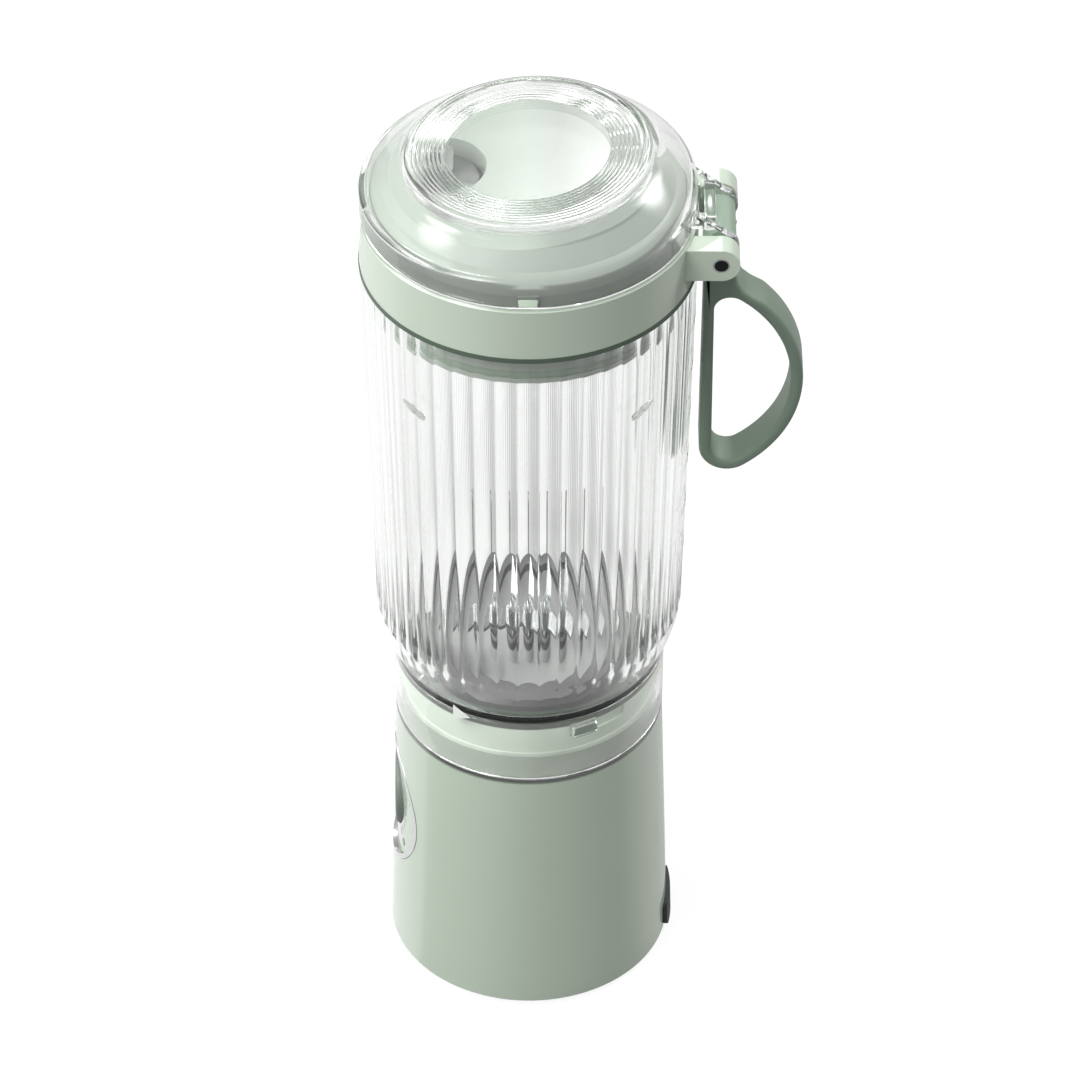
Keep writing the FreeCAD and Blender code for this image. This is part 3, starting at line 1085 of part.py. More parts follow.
def make_blade_nut():
    """Domed hexagon nut over the blades."""
    bottom = BLADE_NUT_BOTTOM_Z
    corners = [(BLADE_NUT_RADIUS * math.cos(math.radians(60 * i)),
                BLADE_NUT_RADIUS * math.sin(math.radians(60 * i))) for i in range(6)]
    prism = flat_prism(corners, bottom, bottom + BLADE_NUT_HEIGHT)
    dome_radius = BLADE_NUT_RADIUS - BLADE_NUT_DOME_INSET
    dome = Part.makeSphere(dome_radius, Vector(0, 0, bottom + BLADE_NUT_HEIGHT - dome_radius / 3))
    dome = dome.common(cylinder(dome_radius, bottom + 1, bottom + 2 * BLADE_NUT_HEIGHT))
    hole = cylinder(BLADE_SHAFT_RADIUS + PRESS_GAP, bottom - 1, BLADE_SHAFT_TOP_Z + SEAT_GAP)
    return joined(prism, dome).cut(hole)


def make_driven_coupler():
    """Socket on the blade shaft that drops over the lobed driver."""
    body = cylinder(DRIVEN_COUPLER_RADIUS, DRIVEN_COUPLER_BOTTOM_Z, DRIVEN_COUPLER_TOP_Z)
    web_bottom = DRIVEN_COUPLER_TOP_Z - DRIVEN_COUPLER_WEB
    gap = LOOSE_GAP + SEAT_GAP
    cavity = star(DRIVE_COUPLER_RADIUS + gap, DRIVE_COUPLER_ROOT + gap,
                  DRIVEN_COUPLER_BOTTOM_Z - 1, web_bottom)
    hole = cylinder(BLADE_SHAFT_RADIUS + PRESS_GAP, web_bottom - 1, DRIVEN_COUPLER_TOP_Z + 1)
    return body.cut(cavity).cut(hole)


# ---- lid --------------------------------------------------------------------------------
def latch_patch(half_width, bottom, top, corner):
    """Rounded patch on the front, for the latch recess and for the cap's tongue."""
    return rounded_x_block(-FAR, -COLLAR_RADIUS / 2, half_width, bottom, top, corner)


def make_lid_collar():
    """Collar round the jar's neck with the two hinge lugs and the latch recess."""
    collar = revolved([
        (COLLAR_INNER_RADIUS, COLLAR_BOTTOM_Z),
        (COLLAR_RADIUS, COLLAR_BOTTOM_Z),
        (COLLAR_RADIUS, COLLAR_TOP_Z - COLLAR_EDGE_ROUND),
        (COLLAR_RADIUS - COLLAR_EDGE_ROUND, COLLAR_TOP_Z),
        (COLLAR_STEP_RADIUS, COLLAR_TOP_Z),
        (COLLAR_STEP_RADIUS, COLLAR_STEP_Z),
        (COLLAR_INNER_RADIUS, COLLAR_STEP_Z),
    ])
    root = COLLAR_INNER_RADIUS + LUG_ROOT
    for side in (-1, 1):
        y_low = min(side * LUG_INNER_Y, side * LUG_OUTER_Y)
        y_high = max(side * LUG_INNER_Y, side * LUG_OUTER_Y)
        lug = joined(
            block(COLLAR_RADIUS / 2, HINGE_X, y_low, y_high, HINGE_Z - LUG_RADIUS,
                  HINGE_Z + LUG_RADIUS),
            y_cylinder(LUG_RADIUS, y_low, y_high, HINGE_X, HINGE_Z))
        lug = lug.cut(cylinder(root, COLLAR_BOTTOM_Z, COLLAR_TOP_Z + LUG_RADIUS))
        collar = collar.fuse(lug)
    collar = collar.removeSplitter()
    collar = collar.cut(y_cylinder(HINGE_PIN_RADIUS + PRESS_GAP, -LUG_OUTER_Y - 1,
                                   LUG_OUTER_Y + 1, HINGE_X, HINGE_Z))
    for side in (-1, 1):
        low = min(side * (LUG_OUTER_Y - FERRULE_DEPTH), side * (LUG_OUTER_Y + 1))
        collar = collar.cut(y_cylinder(FERRULE_RADIUS + PRESS_GAP, low, low + FERRULE_DEPTH + 1,
                                       HINGE_X, HINGE_Z))
    recess_top = COLLAR_TOP_Z + 2 * LATCH_ROUND
    recess = latch_patch(LATCH_HALF_WIDTH, LATCH_BOTTOM_Z, recess_top, LATCH_ROUND)
    recess = recess.cut(cylinder(LATCH_FLOOR_RADIUS, LATCH_BOTTOM_Z - 1, recess_top + 1))
    return collar.cut(recess)


def make_collar_gasket():
    """Soft ring between the collar and the jar's shoulder."""
    return tube(COLLAR_GASKET_RADIUS, COLLAR_INNER_RADIUS, JAR_BODY_TOP_Z + SEAT_GAP,
                COLLAR_BOTTOM_Z)


def spout_outline(offset):
    """Outline of the spout pocket, moved out by an offset: round towards the blender axis."""
    half = SPOUT_HALF_WIDTH + offset
    outer = SPOUT_OUTER_X - offset
    inner = SPOUT_INNER_X + offset
    corner = SPOUT_CORNER_ROUND + offset
    straight_end = inner - half
    diagonal = corner * (1 - math.sqrt(0.5))
    return [
        (straight_end, -half),
        ((inner, 0.0), (straight_end, half)),
        (outer + corner, half),
        ((outer + diagonal, half - diagonal), (outer, half - corner)),
        (outer, -half + corner),
        ((outer + diagonal, -half + diagonal), (outer + corner, -half)),
    ]


def slot_outline(offset):
    """Outline of the pouring hole, moved out by an offset: a slot along Y with round ends."""
    half = SPOUT_HOLE_HALF_WIDTH + offset
    straight = SPOUT_HOLE_HALF_LENGTH - SPOUT_HOLE_HALF_WIDTH
    x = SPOUT_HOLE_X
    return [
        (x + half, straight),
        ((x, straight + half), (x - half, straight)),
        (x - half, -straight),
        ((x, -straight - half), (x + half, -straight)),
    ]


def make_lid_deck():
    """Inner lid: plug into the jar's mouth, sloping deck, spout pocket and side catches."""
    side = DECK_SIDE_RADIUS
    plug_inner = DECK_PLUG_RADIUS - DECK_PLUG_WALL
    groove_floor = DECK_PLUG_RADIUS - SEAL_GROOVE_DEPTH
    groove_top = SEAL_GROOVE_Z + SEAL_GROOVE_HEIGHT
    flange_z = JAR_MOUTH_Z + LOOSE_GAP
    deck = revolved([
        (plug_inner, DECK_PLUG_BOTTOM_Z),
        (DECK_PLUG_RADIUS, DECK_PLUG_BOTTOM_Z),
        (DECK_PLUG_RADIUS, SEAL_GROOVE_Z),
        (groove_floor, SEAL_GROOVE_Z),
        (groove_floor, groove_top),
        (DECK_PLUG_RADIUS, groove_top),
        (DECK_PLUG_RADIUS, flange_z),
        (side, flange_z),
        (side, DECK_SIDE_TOP_Z),
        ((side - 0.375 * DECK_SHOULDER_WIDTH, DECK_SIDE_TOP_Z + 0.62 * DECK_SHOULDER_HEIGHT),
         (side - DECK_SHOULDER_WIDTH, DECK_SIDE_TOP_Z + DECK_SHOULDER_HEIGHT)),
        (DECK_CONE_RADIUS, DECK_CONE_Z),
        (0, DECK_CONE_Z + DECK_THICKNESS),
        (0, DECK_CEILING_Z),
        (DECK_CONE_RADIUS - DECK_CEILING_INSET, DECK_CEILING_Z),
        (plug_inner, DECK_SIDE_TOP_Z),
    ])
    above = tilted(cylinder(FAR / 2, DECK_CENTRE_Z, DECK_CENTRE_Z + FAR / 4), DECK_CENTRE_Z)
    cup = flat_prism(spout_outline(SPOUT_WALL), SPOUT_FLOOR_Z - SPOUT_WALL, DECK_CEILING_Z + SPOUT_WALL / 2)
    deck = joined(deck.cut(above), cup)
    deck = deck.cut(flat_prism(spout_outline(0.0), SPOUT_FLOOR_Z, SPOUT_FLOOR_Z + FAR / 4))
    deck = deck.cut(flat_prism(slot_outline(0.0), SPOUT_FLOOR_Z - 2 * SPOUT_WALL, SPOUT_FLOOR_Z + 1))
    catch_bottom = COLLAR_TOP_Z + SEAT_GAP
    catch = flat_catch(side, catch_bottom)
    return joined(deck, turned(catch, -90), turned(catch, 90))


def flat_catch(side, bottom):
    """Small keystone-shaped catch on the deck's side, pointing along X."""
    low = CATCH_BOTTOM_WIDTH / 2
    high = CATCH_TOP_WIDTH / 2
    outline = [(-low, bottom), (low, bottom), (high, bottom + CATCH_HEIGHT),
               (-high, bottom + CATCH_HEIGHT)]
    face = Part.Face(wire_through(outline, lambda y, z: Vector(side - 1, y, z)))
    return face.extrude(Vector(1 + CATCH_DEPTH, 0, 0))


def make_lid_seal():
    """Soft sealing ring in the plug's groove."""
    floor = DECK_PLUG_RADIUS - SEAL_GROOVE_DEPTH + SEAT_GAP / 2
    proud = DECK_PLUG_RADIUS + SEAL_PROUD
    bottom = SEAL_GROOVE_Z + SEAT_GAP / 2
    top = SEAL_GROOVE_Z + SEAL_GROOVE_HEIGHT - SEAT_GAP / 2
    middle = (bottom + top) / 2
    return revolved([
        (floor, bottom),
        (DECK_PLUG_RADIUS - SEAL_CROWN, bottom),
        ((proud, middle), (DECK_PLUG_RADIUS - SEAL_CROWN, top)),
        (floor, top),
    ])


def make_hinge_pin():
    """Steel pin through lugs, ears and barrel."""
    reach = LUG_OUTER_Y - FERRULE_DEPTH
    return y_cylinder(HINGE_PIN_RADIUS, -reach, reach, HINGE_X, HINGE_Z)


def at_pin_ends(radius):
    """One cylinder in each lug's end recess."""
    inner = LUG_OUTER_Y - FERRULE_DEPTH
    return [y_cylinder(radius, inner, LUG_OUTER_Y, HINGE_X, HINGE_Z),
            y_cylinder(radius, -LUG_OUTER_Y, -inner, HINGE_X, HINGE_Z)]


def make_pin_ferrules():
    """Bright rings round the pin's ends."""
    bores = at_pin_ends(FERRULE_RADIUS - FERRULE_WALL)
    return Part.makeCompound([ring.cut(bore)
                              for ring, bore in zip(at_pin_ends(FERRULE_RADIUS), bores)])


def make_pin_caps():
    """Black caps inside the bright rings."""
    return Part.makeCompound(at_pin_ends(FERRULE_RADIUS - FERRULE_WALL - PRESS_GAP))


# ---- flip cap ---------------------------------------------------------------------------
def cap_station(step, inset, drop):
    """Circle on the cap's shoulder; the tilt grows from none at the rim to the disc's."""
    angle = math.pi / 2 * step / CAP_STATIONS
    width = CAP_RIM_RADIUS - CAP_SHOULDER_TOP_RADIUS
    height = CAP_SHOULDER_TOP_Z - CAP_RIM_TOP_Z
    radius = CAP_SHOULDER_TOP_RADIUS + width * math.cos(angle) - inset
    z = CAP_RIM_TOP_Z + height * math.sin(angle) - drop * math.sin(angle)
    circle = Part.Wire([Part.makeCircle(radius, Vector(0, 0, z))])
    circle.rotate(Vector(0, 0, z), Y_AXIS, -CAP_TILT * math.sin(angle))
    return circle


def cap_body(inset, drop):
    """Solid of the cap's outside, or with an inset and a drop the hollow inside it."""
    stations = [cap_station(step, inset, drop) for step in range(CAP_STATIONS + 1)]
    shoulder = Part.makeLoft(stations, True, False)
    rim = cylinder(CAP_RIM_RADIUS - inset, CAP_RIM_BOTTOM_Z, CAP_RIM_TOP_Z)
    return rim.fuse(shoulder)


def cap_disc():
    """Flat disc with ring grooves in its top."""
    pitch = (GROOVE_OUTER_RADIUS - GROOVE_INNER_RADIUS) / GROOVE_COUNT
    points = [(0, DISC_UNDERSIDE_Z), (DISC_RADIUS, DISC_UNDERSIDE_Z),
              (DISC_RADIUS, DISC_TOP_Z - DISC_EDGE_ROUND)]
    diagonal = DISC_EDGE_ROUND * (1 - math.sqrt(0.5))
    points.append(((DISC_RADIUS - diagonal, DISC_TOP_Z - diagonal),
                   (DISC_RADIUS - DISC_EDGE_ROUND, DISC_TOP_Z)))
    for i in range(GROOVE_COUNT):
        outer = GROOVE_OUTER_RADIUS - i * pitch
        points.append((outer, DISC_TOP_Z))
        points.append((outer - 0.7 * pitch, DISC_TOP_Z - GROOVE_DEPTH))
    points.append((GROOVE_INNER_RADIUS, DISC_TOP_Z))
    points.append((0, DISC_TOP_Z))
    return tilted(revolved(points), DISC_TOP_Z)


def make_flip_cap():
    """Clear hinged cap: rim, rounded shoulder, grooved disc, hinge ears and latch tongue."""
    outside = cap_body(0.0, 0.0).fuse(cap_disc())
    inner_drop = CAP_SHOULDER_TOP_Z - DISC_UNDERSIDE_Z
    cap = outside.cut(cap_body(CAP_WALL, inner_drop))
    cap = cap.cut(cylinder(CAP_RIM_RADIUS - CAP_WALL, CAP_RIM_BOTTOM_Z - 1, CAP_RIM_TOP_Z))
    ears = [hinge_ear(-EAR_OUTER_Y, -EAR_INNER_Y), hinge_ear(EAR_INNER_Y, EAR_OUTER_Y)]
    web_reach = EAR_INNER_Y + EAR_THICKNESS / 2
    web = block(HINGE_X - WEB_FRONT, HINGE_X - WEB_BACK, -web_reach, web_reach,
                HINGE_Z + WEB_LIFT, HINGE_Z + WEB_LIFT + WEB_HEIGHT)
    cap = cap.multiFuse(ears + [web, latch_tongue()])
    pin_hole = y_cylinder(HINGE_PIN_RADIUS + BORE_GAP, -EAR_OUTER_Y - 1, EAR_OUTER_Y + 1,
                          HINGE_X, HINGE_Z)
    cap = cap.cut(pin_hole)
    scallop = Part.makeSphere(SCALLOP_RADIUS, Vector(0, CAP_RIM_RADIUS + SCALLOP_RADIUS
                                                     - SCALLOP_DEPTH, CAP_RIM_TOP_Z + SCALLOP_LIFT))
    window = block(-WINDOW_HALF_WIDTH, WINDOW_HALF_WIDTH, CAP_RIM_RADIUS - WINDOW_DEPTH,
                   CAP_RIM_RADIUS + 1, CAP_RIM_BOTTOM_Z - 1, CAP_RIM_TOP_Z)
    for angle in (0, 180):
        cap = cap.cut(turned(scallop, angle)).cut(turned(window, angle))
    return cap


def hinge_ear(y_low, y_high):
    """Arm from the cap's rim to the hinge pin."""
    root = CAP_RIM_RADIUS - 2 * CAP_WALL
    top = CAP_RIM_TOP_Z - EAR_TOP_DROP
    arm = side_prism([
        (root, CAP_RIM_BOTTOM_Z),
        (root, top),
        (HINGE_X + EAR_CREST_X, HINGE_Z + math.sqrt(EAR_RADIUS ** 2 - EAR_CREST_X ** 2)),
        (HINGE_X, HINGE_Z),
        (HINGE_X - EAR_RADIUS, HINGE_Z),
        (HINGE_X - EAR_RADIUS, CAP_RIM_BOTTOM_Z),
    ], y_low, y_high)
    arm = arm.cut(cylinder(CAP_RIM_RADIUS - CAP_WALL, CAP_RIM_BOTTOM_Z - 1, top + 1))
    return joined(arm, y_cylinder(EAR_RADIUS, y_low, y_high, HINGE_X, HINGE_Z))


def latch_tongue():
    """Tongue that hangs from the rim into the collar's latch recess."""
    inner = LATCH_FLOOR_RADIUS + LOOSE_GAP
    patch = latch_patch(LATCH_HALF_WIDTH - SWING_GAP, LATCH_BOTTOM_Z + SWING_GAP,
                        CAP_RIM_TOP_Z - CAP_WALL / 2, LATCH_ROUND - SWING_GAP)
    ring = tube(inner + TONGUE_THICKNESS, inner, LATCH_BOTTOM_Z, CAP_RIM_TOP_Z)
    return patch.common(ring)


def disc_underside_z(x):
    """Height of the cap's tilted ceiling at a distance along X."""
    return DISC_UNDERSIDE_Z + x * math.tan(math.radians(CAP_TILT))


def make_spout_stopper():
    """Silicone stopper under the cap: a pad in the spout pocket, its plug and its lug."""
    pad_bottom = SPOUT_FLOOR_Z + STOPPER_LIFT
    pad_top = pad_bottom + STOPPER_FLANGE_HEIGHT
    pad = flat_prism(spout_outline(-STOPPER_POCKET_GAP), pad_bottom, pad_top)
    plug = flat_prism(slot_outline(-STOPPER_HOLE_GAP), SPOUT_FLOOR_Z - STOPPER_PLUG_DEPTH, pad_top)
    half_x = STOPPER_LUG_WIDTH / 2
    half_y = STOPPER_LUG_LENGTH / 2
    lug_top = disc_underside_z(SPOUT_HOLE_X - half_x) - SEAT_GAP
    lug = block(SPOUT_HOLE_X - half_x, SPOUT_HOLE_X + half_x, -half_y, half_y, pad_bottom, lug_top)
    upright = [edge for edge in lug.Edges if edge.BoundBox.ZLength > 1]
    return joined(pad, plug, lug.makeFillet(STOPPER_LUG_ROUND, upright))


# ---- carry loop -------------------------------------------------------------------------
def loop_outline(inset):
    """D-shaped outline, moved in by an inset: a straight front, a bowed back, round corners."""
    front = LOOP_FRONT_X + inset
    bow = LOOP_BOW_RADIUS - inset
    corner = LOOP_CORNER_RADIUS - inset
    corner_x = front + corner
    half_height = math.sqrt((bow - corner) ** 2 - (corner_x - LOOP_BOW_X) ** 2)
    points = []
    for side in (-1, 1):
        corner_z = LOOP_BOW_Z + side * half_height
        reach = bow / (bow - corner)
        meet = (LOOP_BOW_X + (corner_x - LOOP_BOW_X) * reach,
                LOOP_BOW_Z + (corner_z - LOOP_BOW_Z) * reach)
        lean_x = (meet[0] - corner_x) / corner - 1
        lean_z = (meet[1] - corner_z) / corner
        length = math.hypot(lean_x, lean_z)
        middle = (corner_x + corner * lean_x / length, corner_z + corner * lean_z / length)
        points.append((meet, middle, (front, corner_z)))
    (low_meet, low_middle, low_front), (high_meet, high_middle, high_front) = points
    return [
        low_front,
        (low_middle, low_meet),
        ((LOOP_BOW_X + bow, LOOP_BOW_Z), high_meet),
        (high_middle, high_front),
    ]


def make_carry_loop():
    """Soft D-shaped loop with the neck that hangs from the barrel."""
    band = side_prism(loop_outline(0.0), -LOOP_HALF_WIDTH, LOOP_HALF_WIDTH)
    neck_bottom = LOOP_BOW_Z + LOOP_BOW_RADIUS / 2
    neck = block(LOOP_FRONT_X, LOOP_NECK_BACK_X, -LOOP_HALF_WIDTH, LOOP_HALF_WIDTH, neck_bottom,
                 HINGE_Z)
    loop = joined(band, neck)
    loop = loop.cut(side_prism(loop_outline(LOOP_THICKNESS), -LOOP_HALF_WIDTH - 1,
                               LOOP_HALF_WIDTH + 1))
    rims = [edge for edge in loop.Edges
            if edge.BoundBox.YLength < 1e-6 and edge.BoundBox.ZMax < HINGE_Z - 1e-6]
    loop = loop.makeFillet(LOOP_EDGE_ROUND, rims)
    return loop.cut(y_cylinder(BARREL_RADIUS + LOOP_SEAT_GAP, -LOOP_HALF_WIDTH - 1,
                               LOOP_HALF_WIDTH + 1, HINGE_X, HINGE_Z))


def make_hinge_barrel():
    """Barrel on the hinge pin that carries the loop."""
    barrel = y_cylinder(BARREL_RADIUS, -BARREL_HALF_LENGTH, BARREL_HALF_LENGTH, HINGE_X, HINGE_Z)
    return barrel.cut(y_cylinder(HINGE_PIN_RADIUS + BORE_GAP, -BARREL_HALF_LENGTH - 1,
                                 BARREL_HALF_LENGTH + 1, HINGE_X, HINGE_Z))


# ---- output -----------------------------------------------------------------------------
NODES = {
    "base_shell": make_base_shell,
    "bottom_cover": make_bottom_cover,
    "foot_pad": make_foot_pad,
    "base_screws": make_base_screws,
    "trim_ring": make_trim_ring,
    "top_deck": make_top_deck,
    "motor_can": make_motor_can,
    "motor_bracket": make_motor_bracket,
    "motor_screws": make_motor_screws,
    "bracket_screws": make_bracket_screws,
    "battery_cells": make_battery_cells,
    "battery_cradle": make_battery_cradle,
    "control_bezel": make_control_bezel,
    "control_plate": make_control_plate,
    "rotary_switch": make_rotary_switch,
    "control_board": make_control_board,
    "usb_socket": make_usb_socket,
    "charge_board": make_charge_board,
    "interlock_sensor": make_interlock_sensor,
    "motor_shaft": make_motor_shaft,
    "drive_coupler": make_drive_coupler,
    "control_knob": make_control_knob,
    "knob_shaft": make_knob_shaft,
    "port_cover": make_port_cover,
    "jar": make_jar,
    "carrier_gasket": make_carrier_gasket,
    "blade_carrier": make_blade_carrier,
    "carrier_nut": make_carrier_nut,
    "interlock_magnet": make_interlock_magnet,
    "bearing_bush": make_bearing_bush,
    "shaft_seal": make_shaft_seal,
    "blade_shaft": make_blade_shaft,
    "lower_blade": make_lower_blade,
    "upper_blade": make_upper_blade,
    "blade_nut": make_blade_nut,
    "driven_coupler": make_driven_coupler,
    "lid_collar": make_lid_collar,
    "collar_gasket": make_collar_gasket,
    "lid_deck": make_lid_deck,
    "lid_seal": make_lid_seal,
    "hinge_pin": make_hinge_pin,
    "pin_ferrules": make_pin_ferrules,
    "pin_caps": make_pin_caps,
    "flip_cap": make_flip_cap,
    "spout_stopper": make_spout_stopper,
    "carry_loop": make_carry_loop,
    "hinge_barrel": make_hinge_barrel,
}


def main():
    """Build every node and write it as a STEP file."""
    os.makedirs("parts", exist_ok=True)
    for name, make in NODES.items():
        shape = make()
        print(name, len(shape.Solids), round(shape.Volume, 1), shape.isValid())
        shape.exportStep(os.path.join("parts", name + ".step"))


main()
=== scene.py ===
"""Dresses the cordless cup blender: finishes, rounded visual pieces, floor, light and camera."""

import logging
import math
from dataclasses import dataclass, field, replace
from enum import Enum
from typing import Callable, Optional, Sequence

import bmesh
import bpy
from mathutils import Matrix, Vector

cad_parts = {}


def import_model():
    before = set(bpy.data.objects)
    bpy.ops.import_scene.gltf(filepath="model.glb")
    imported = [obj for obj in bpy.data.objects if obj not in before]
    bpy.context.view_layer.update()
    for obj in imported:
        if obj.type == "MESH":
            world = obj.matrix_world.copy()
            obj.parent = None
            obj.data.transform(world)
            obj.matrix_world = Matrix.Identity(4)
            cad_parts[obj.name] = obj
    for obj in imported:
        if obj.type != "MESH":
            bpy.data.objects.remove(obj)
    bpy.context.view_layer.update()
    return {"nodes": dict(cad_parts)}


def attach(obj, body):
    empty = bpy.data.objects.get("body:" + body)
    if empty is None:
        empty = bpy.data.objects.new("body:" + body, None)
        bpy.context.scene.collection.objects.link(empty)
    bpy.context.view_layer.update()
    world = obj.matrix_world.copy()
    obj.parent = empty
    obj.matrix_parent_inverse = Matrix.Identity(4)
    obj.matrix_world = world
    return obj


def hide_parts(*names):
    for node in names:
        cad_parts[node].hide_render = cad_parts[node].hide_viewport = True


LOG = logging.getLogger("blender")
MM = 0.001
WHITE = (1.0, 1.0, 1.0, 1.0)
Point = tuple[float, float]
Triple = tuple[float, float, float]
HINGE: Point = (49.2, 242.4)
Mapping = Callable[[float, float], Vector]
BMesh = bmesh.types.BMesh
Tree = bpy.types.NodeTree
Node = bpy.types.Node
Socket = bpy.types.NodeSocket
Outputs = bpy.types.NodeOutputs


class Place(Enum):
    """Bodies that the pieces ride on."""

    BASE = "base"
    KNOB = "knob"
    JAR = "jar"
    LID = "lid"
    CAP = "cap"
    LOOP = "loop"


# ---- shader helpers ---------------------------------------------------------------------
def feed(tree: Tree, node: Node, values: dict) -> None:
    """Links inputs of a node to sockets, or sets them to plain values.

    Args:
        tree: The node tree that holds the node.
        node: The node.
        values: A socket or a plain value for each input, by the input's name or index.
    """
    for key, value in values.items():
        if isinstance(value, Socket):
            tree.links.new(value, node.inputs[key])
        else:
            node.inputs[key].default_value = value


def add_node(tree: Tree, kind: str, values: Optional[dict] = None) -> Node:
    """Adds a shader node.

    Args:
        tree: The node tree that takes the node.
        kind: The node's type, without "ShaderNode" in front.
        values: A socket or a plain value for each input that is fed.

    Returns:
        The node.
    """
    node = tree.nodes.new(f"ShaderNode{kind}")
    feed(tree, node, values or {})
    return node


def calc(tree: Tree, operation: str, *values: object, kind: str = "Math") -> Socket:
    """Adds a math node.

    Args:
        tree: The node tree that takes the node.
        operation: What the node works out.
        values: A socket or a plain value for each input.
        kind: "Math" or "VectorMath".

    Returns:
        The socket that puts out the result, which is one number.
    """
    node = add_node(tree, kind)
    node.operation = operation
    feed(tree, node, dict(enumerate(values)))
    return node.outputs["Value"]


def smooth_ramp(tree: Tree, value: Socket, reach: Point, result: Point) -> Socket:
    """Smooth step of a value from one level to another.

    Args:
        tree: The node tree that takes the node.
        value: The socket that is mapped.
        reach: Where the step starts and ends.
        result: Levels before and after the step.

    Returns:
        The socket that puts out the level.
    """
    step = add_node(tree, "MapRange", {"Value": value, "From Min": reach[0], "From Max": reach[1],
                                       "To Min": result[0], "To Max": result[1]})
    step.interpolation_type = "SMOOTHSTEP"
    return step.outputs["Result"]


def split_of(tree: Tree, vector: Socket) -> Outputs:
    """Sockets "X", "Y" and "Z" of a vector."""
    return add_node(tree, "SeparateXYZ", {"Vector": vector}).outputs


def blend(tree: Tree, factor: Socket, first: Node, second: Node, output: Node) -> None:
    """Mixes two shaders and links the mixture to the output.

    Args:
        tree: The node tree that takes the node.
        factor: Share of the second shader.
        first: The first shader.
        second: The second shader.
        output: The tree's output node.
    """
    mix = add_node(tree, "MixShader", {0: factor, 1: first.outputs[0], 2: second.outputs[0]})
    tree.links.new(mix.outputs["Shader"], output.inputs["Surface"])


def moulded_group() -> Tree:
    """Builds the group for moulded and sprayed surfaces: colour drift, sheen breaks and grain.

    Returns:
        The node group with Color, Roughness and Height outputs.
    """
    found = bpy.data.node_groups.get("moulded_surface")
    if found:
        return found
    group = bpy.data.node_groups.new("moulded_surface", "ShaderNodeTree")
    for label, kind, default in (("Color", "NodeSocketColor", (0.5, 0.5, 0.5, 1.0)),
                                 ("Drift", "NodeSocketFloat", 0.03),
                                 ("Roughness", "NodeSocketFloat", 0.4),
                                 ("Grain Scale", "NodeSocketFloat", 2500.0)):
        socket = group.interface.new_socket(name=label, in_out="INPUT", socket_type=kind)
        socket.default_value = default
    for label, kind in (("Color", "NodeSocketColor"), ("Roughness", "NodeSocketFloat"),
                        ("Height", "NodeSocketFloat")):
        group.interface.new_socket(name=label, in_out="OUTPUT", socket_type=kind)
    entry = group.nodes.new("NodeGroupInput").outputs
    coords = add_node(group, "TexCoord").outputs["Object"]
    broad = add_node(group, "TexNoise", {"Vector": coords, "Scale": 22.0, "Detail": 3.0})
    fine = add_node(group, "TexNoise", {"Vector": coords, "Scale": entry["Grain Scale"],
                                        "Detail": 2.0})
    swing = add_node(group, "MapRange", {"Value": broad.outputs["Fac"], "To Min": -1.0,
                                         "To Max": 1.0})
    amount = calc(group, "MULTIPLY", swing.outputs["Result"], entry["Drift"])
    tint = add_node(group, "HueSaturation", {"Color": entry["Color"],
                                             "Value": calc(group, "ADD", amount, 1.0)})
    rough = calc(group, "MULTIPLY_ADD", amount, 0.8, entry["Roughness"])
    feed(group, group.nodes.new("NodeGroupOutput"),
         {"Color": tint.outputs["Color"], "Roughness": rough, "Height": fine.outputs["Fac"]})
    return group


def darkened_band(tree: Tree, color: Socket, band: Point, level: float) -> Socket:
    """Darkens a colour in a band of heights; on the lid and the deck this is painted shade, where
    the surface stands in a narrow gap.

    Args:
        tree: The material's node tree.
        color: The colour that is darkened.
        band: Lowest and highest place of the band, in millimetres.
        level: Share of the colour that is left inside the band.

    Returns:
        The socket that puts out the darkened colour.
    """
    height = split_of(tree, add_node(tree, "TexCoord").outputs["Object"])["Z"]
    soft = 0.35
    foot, head = (((z - soft) * MM, (z + soft) * MM) for z in band)
    share = calc(tree, "MAXIMUM", smooth_ramp(tree, height, foot, (1.0, level)),
                 smooth_ramp(tree, height, head, (level, 1.0)))
    scaled = add_node(tree, "VectorMath")
    scaled.operation = "SCALE"
    feed(tree, scaled, {0: color, "Scale": share})
    return scaled.outputs["Vector"]


def let_lamps_through(material: bpy.types.Material, shader: Node) -> None:
    """Lets the lamps' rays, and rays trapped for long in a wall, pass a clear material.

    Args:
        material: The material to change.
        shader: Its Principled shader.
    """
    tree = material.node_tree
    surfaces_met = 4.5
    path = add_node(tree, "LightPath").outputs
    trapped = calc(tree, "GREATER_THAN", path["Ray Depth"], surfaces_met)
    through = add_node(tree, "BsdfTransparent", {"Color": (0.95, 0.96, 0.95, 1.0)})
    blend(tree, calc(tree, "MAXIMUM", path["Is Shadow Ray"], trapped), shader, through,
          tree.nodes["Material Output"])


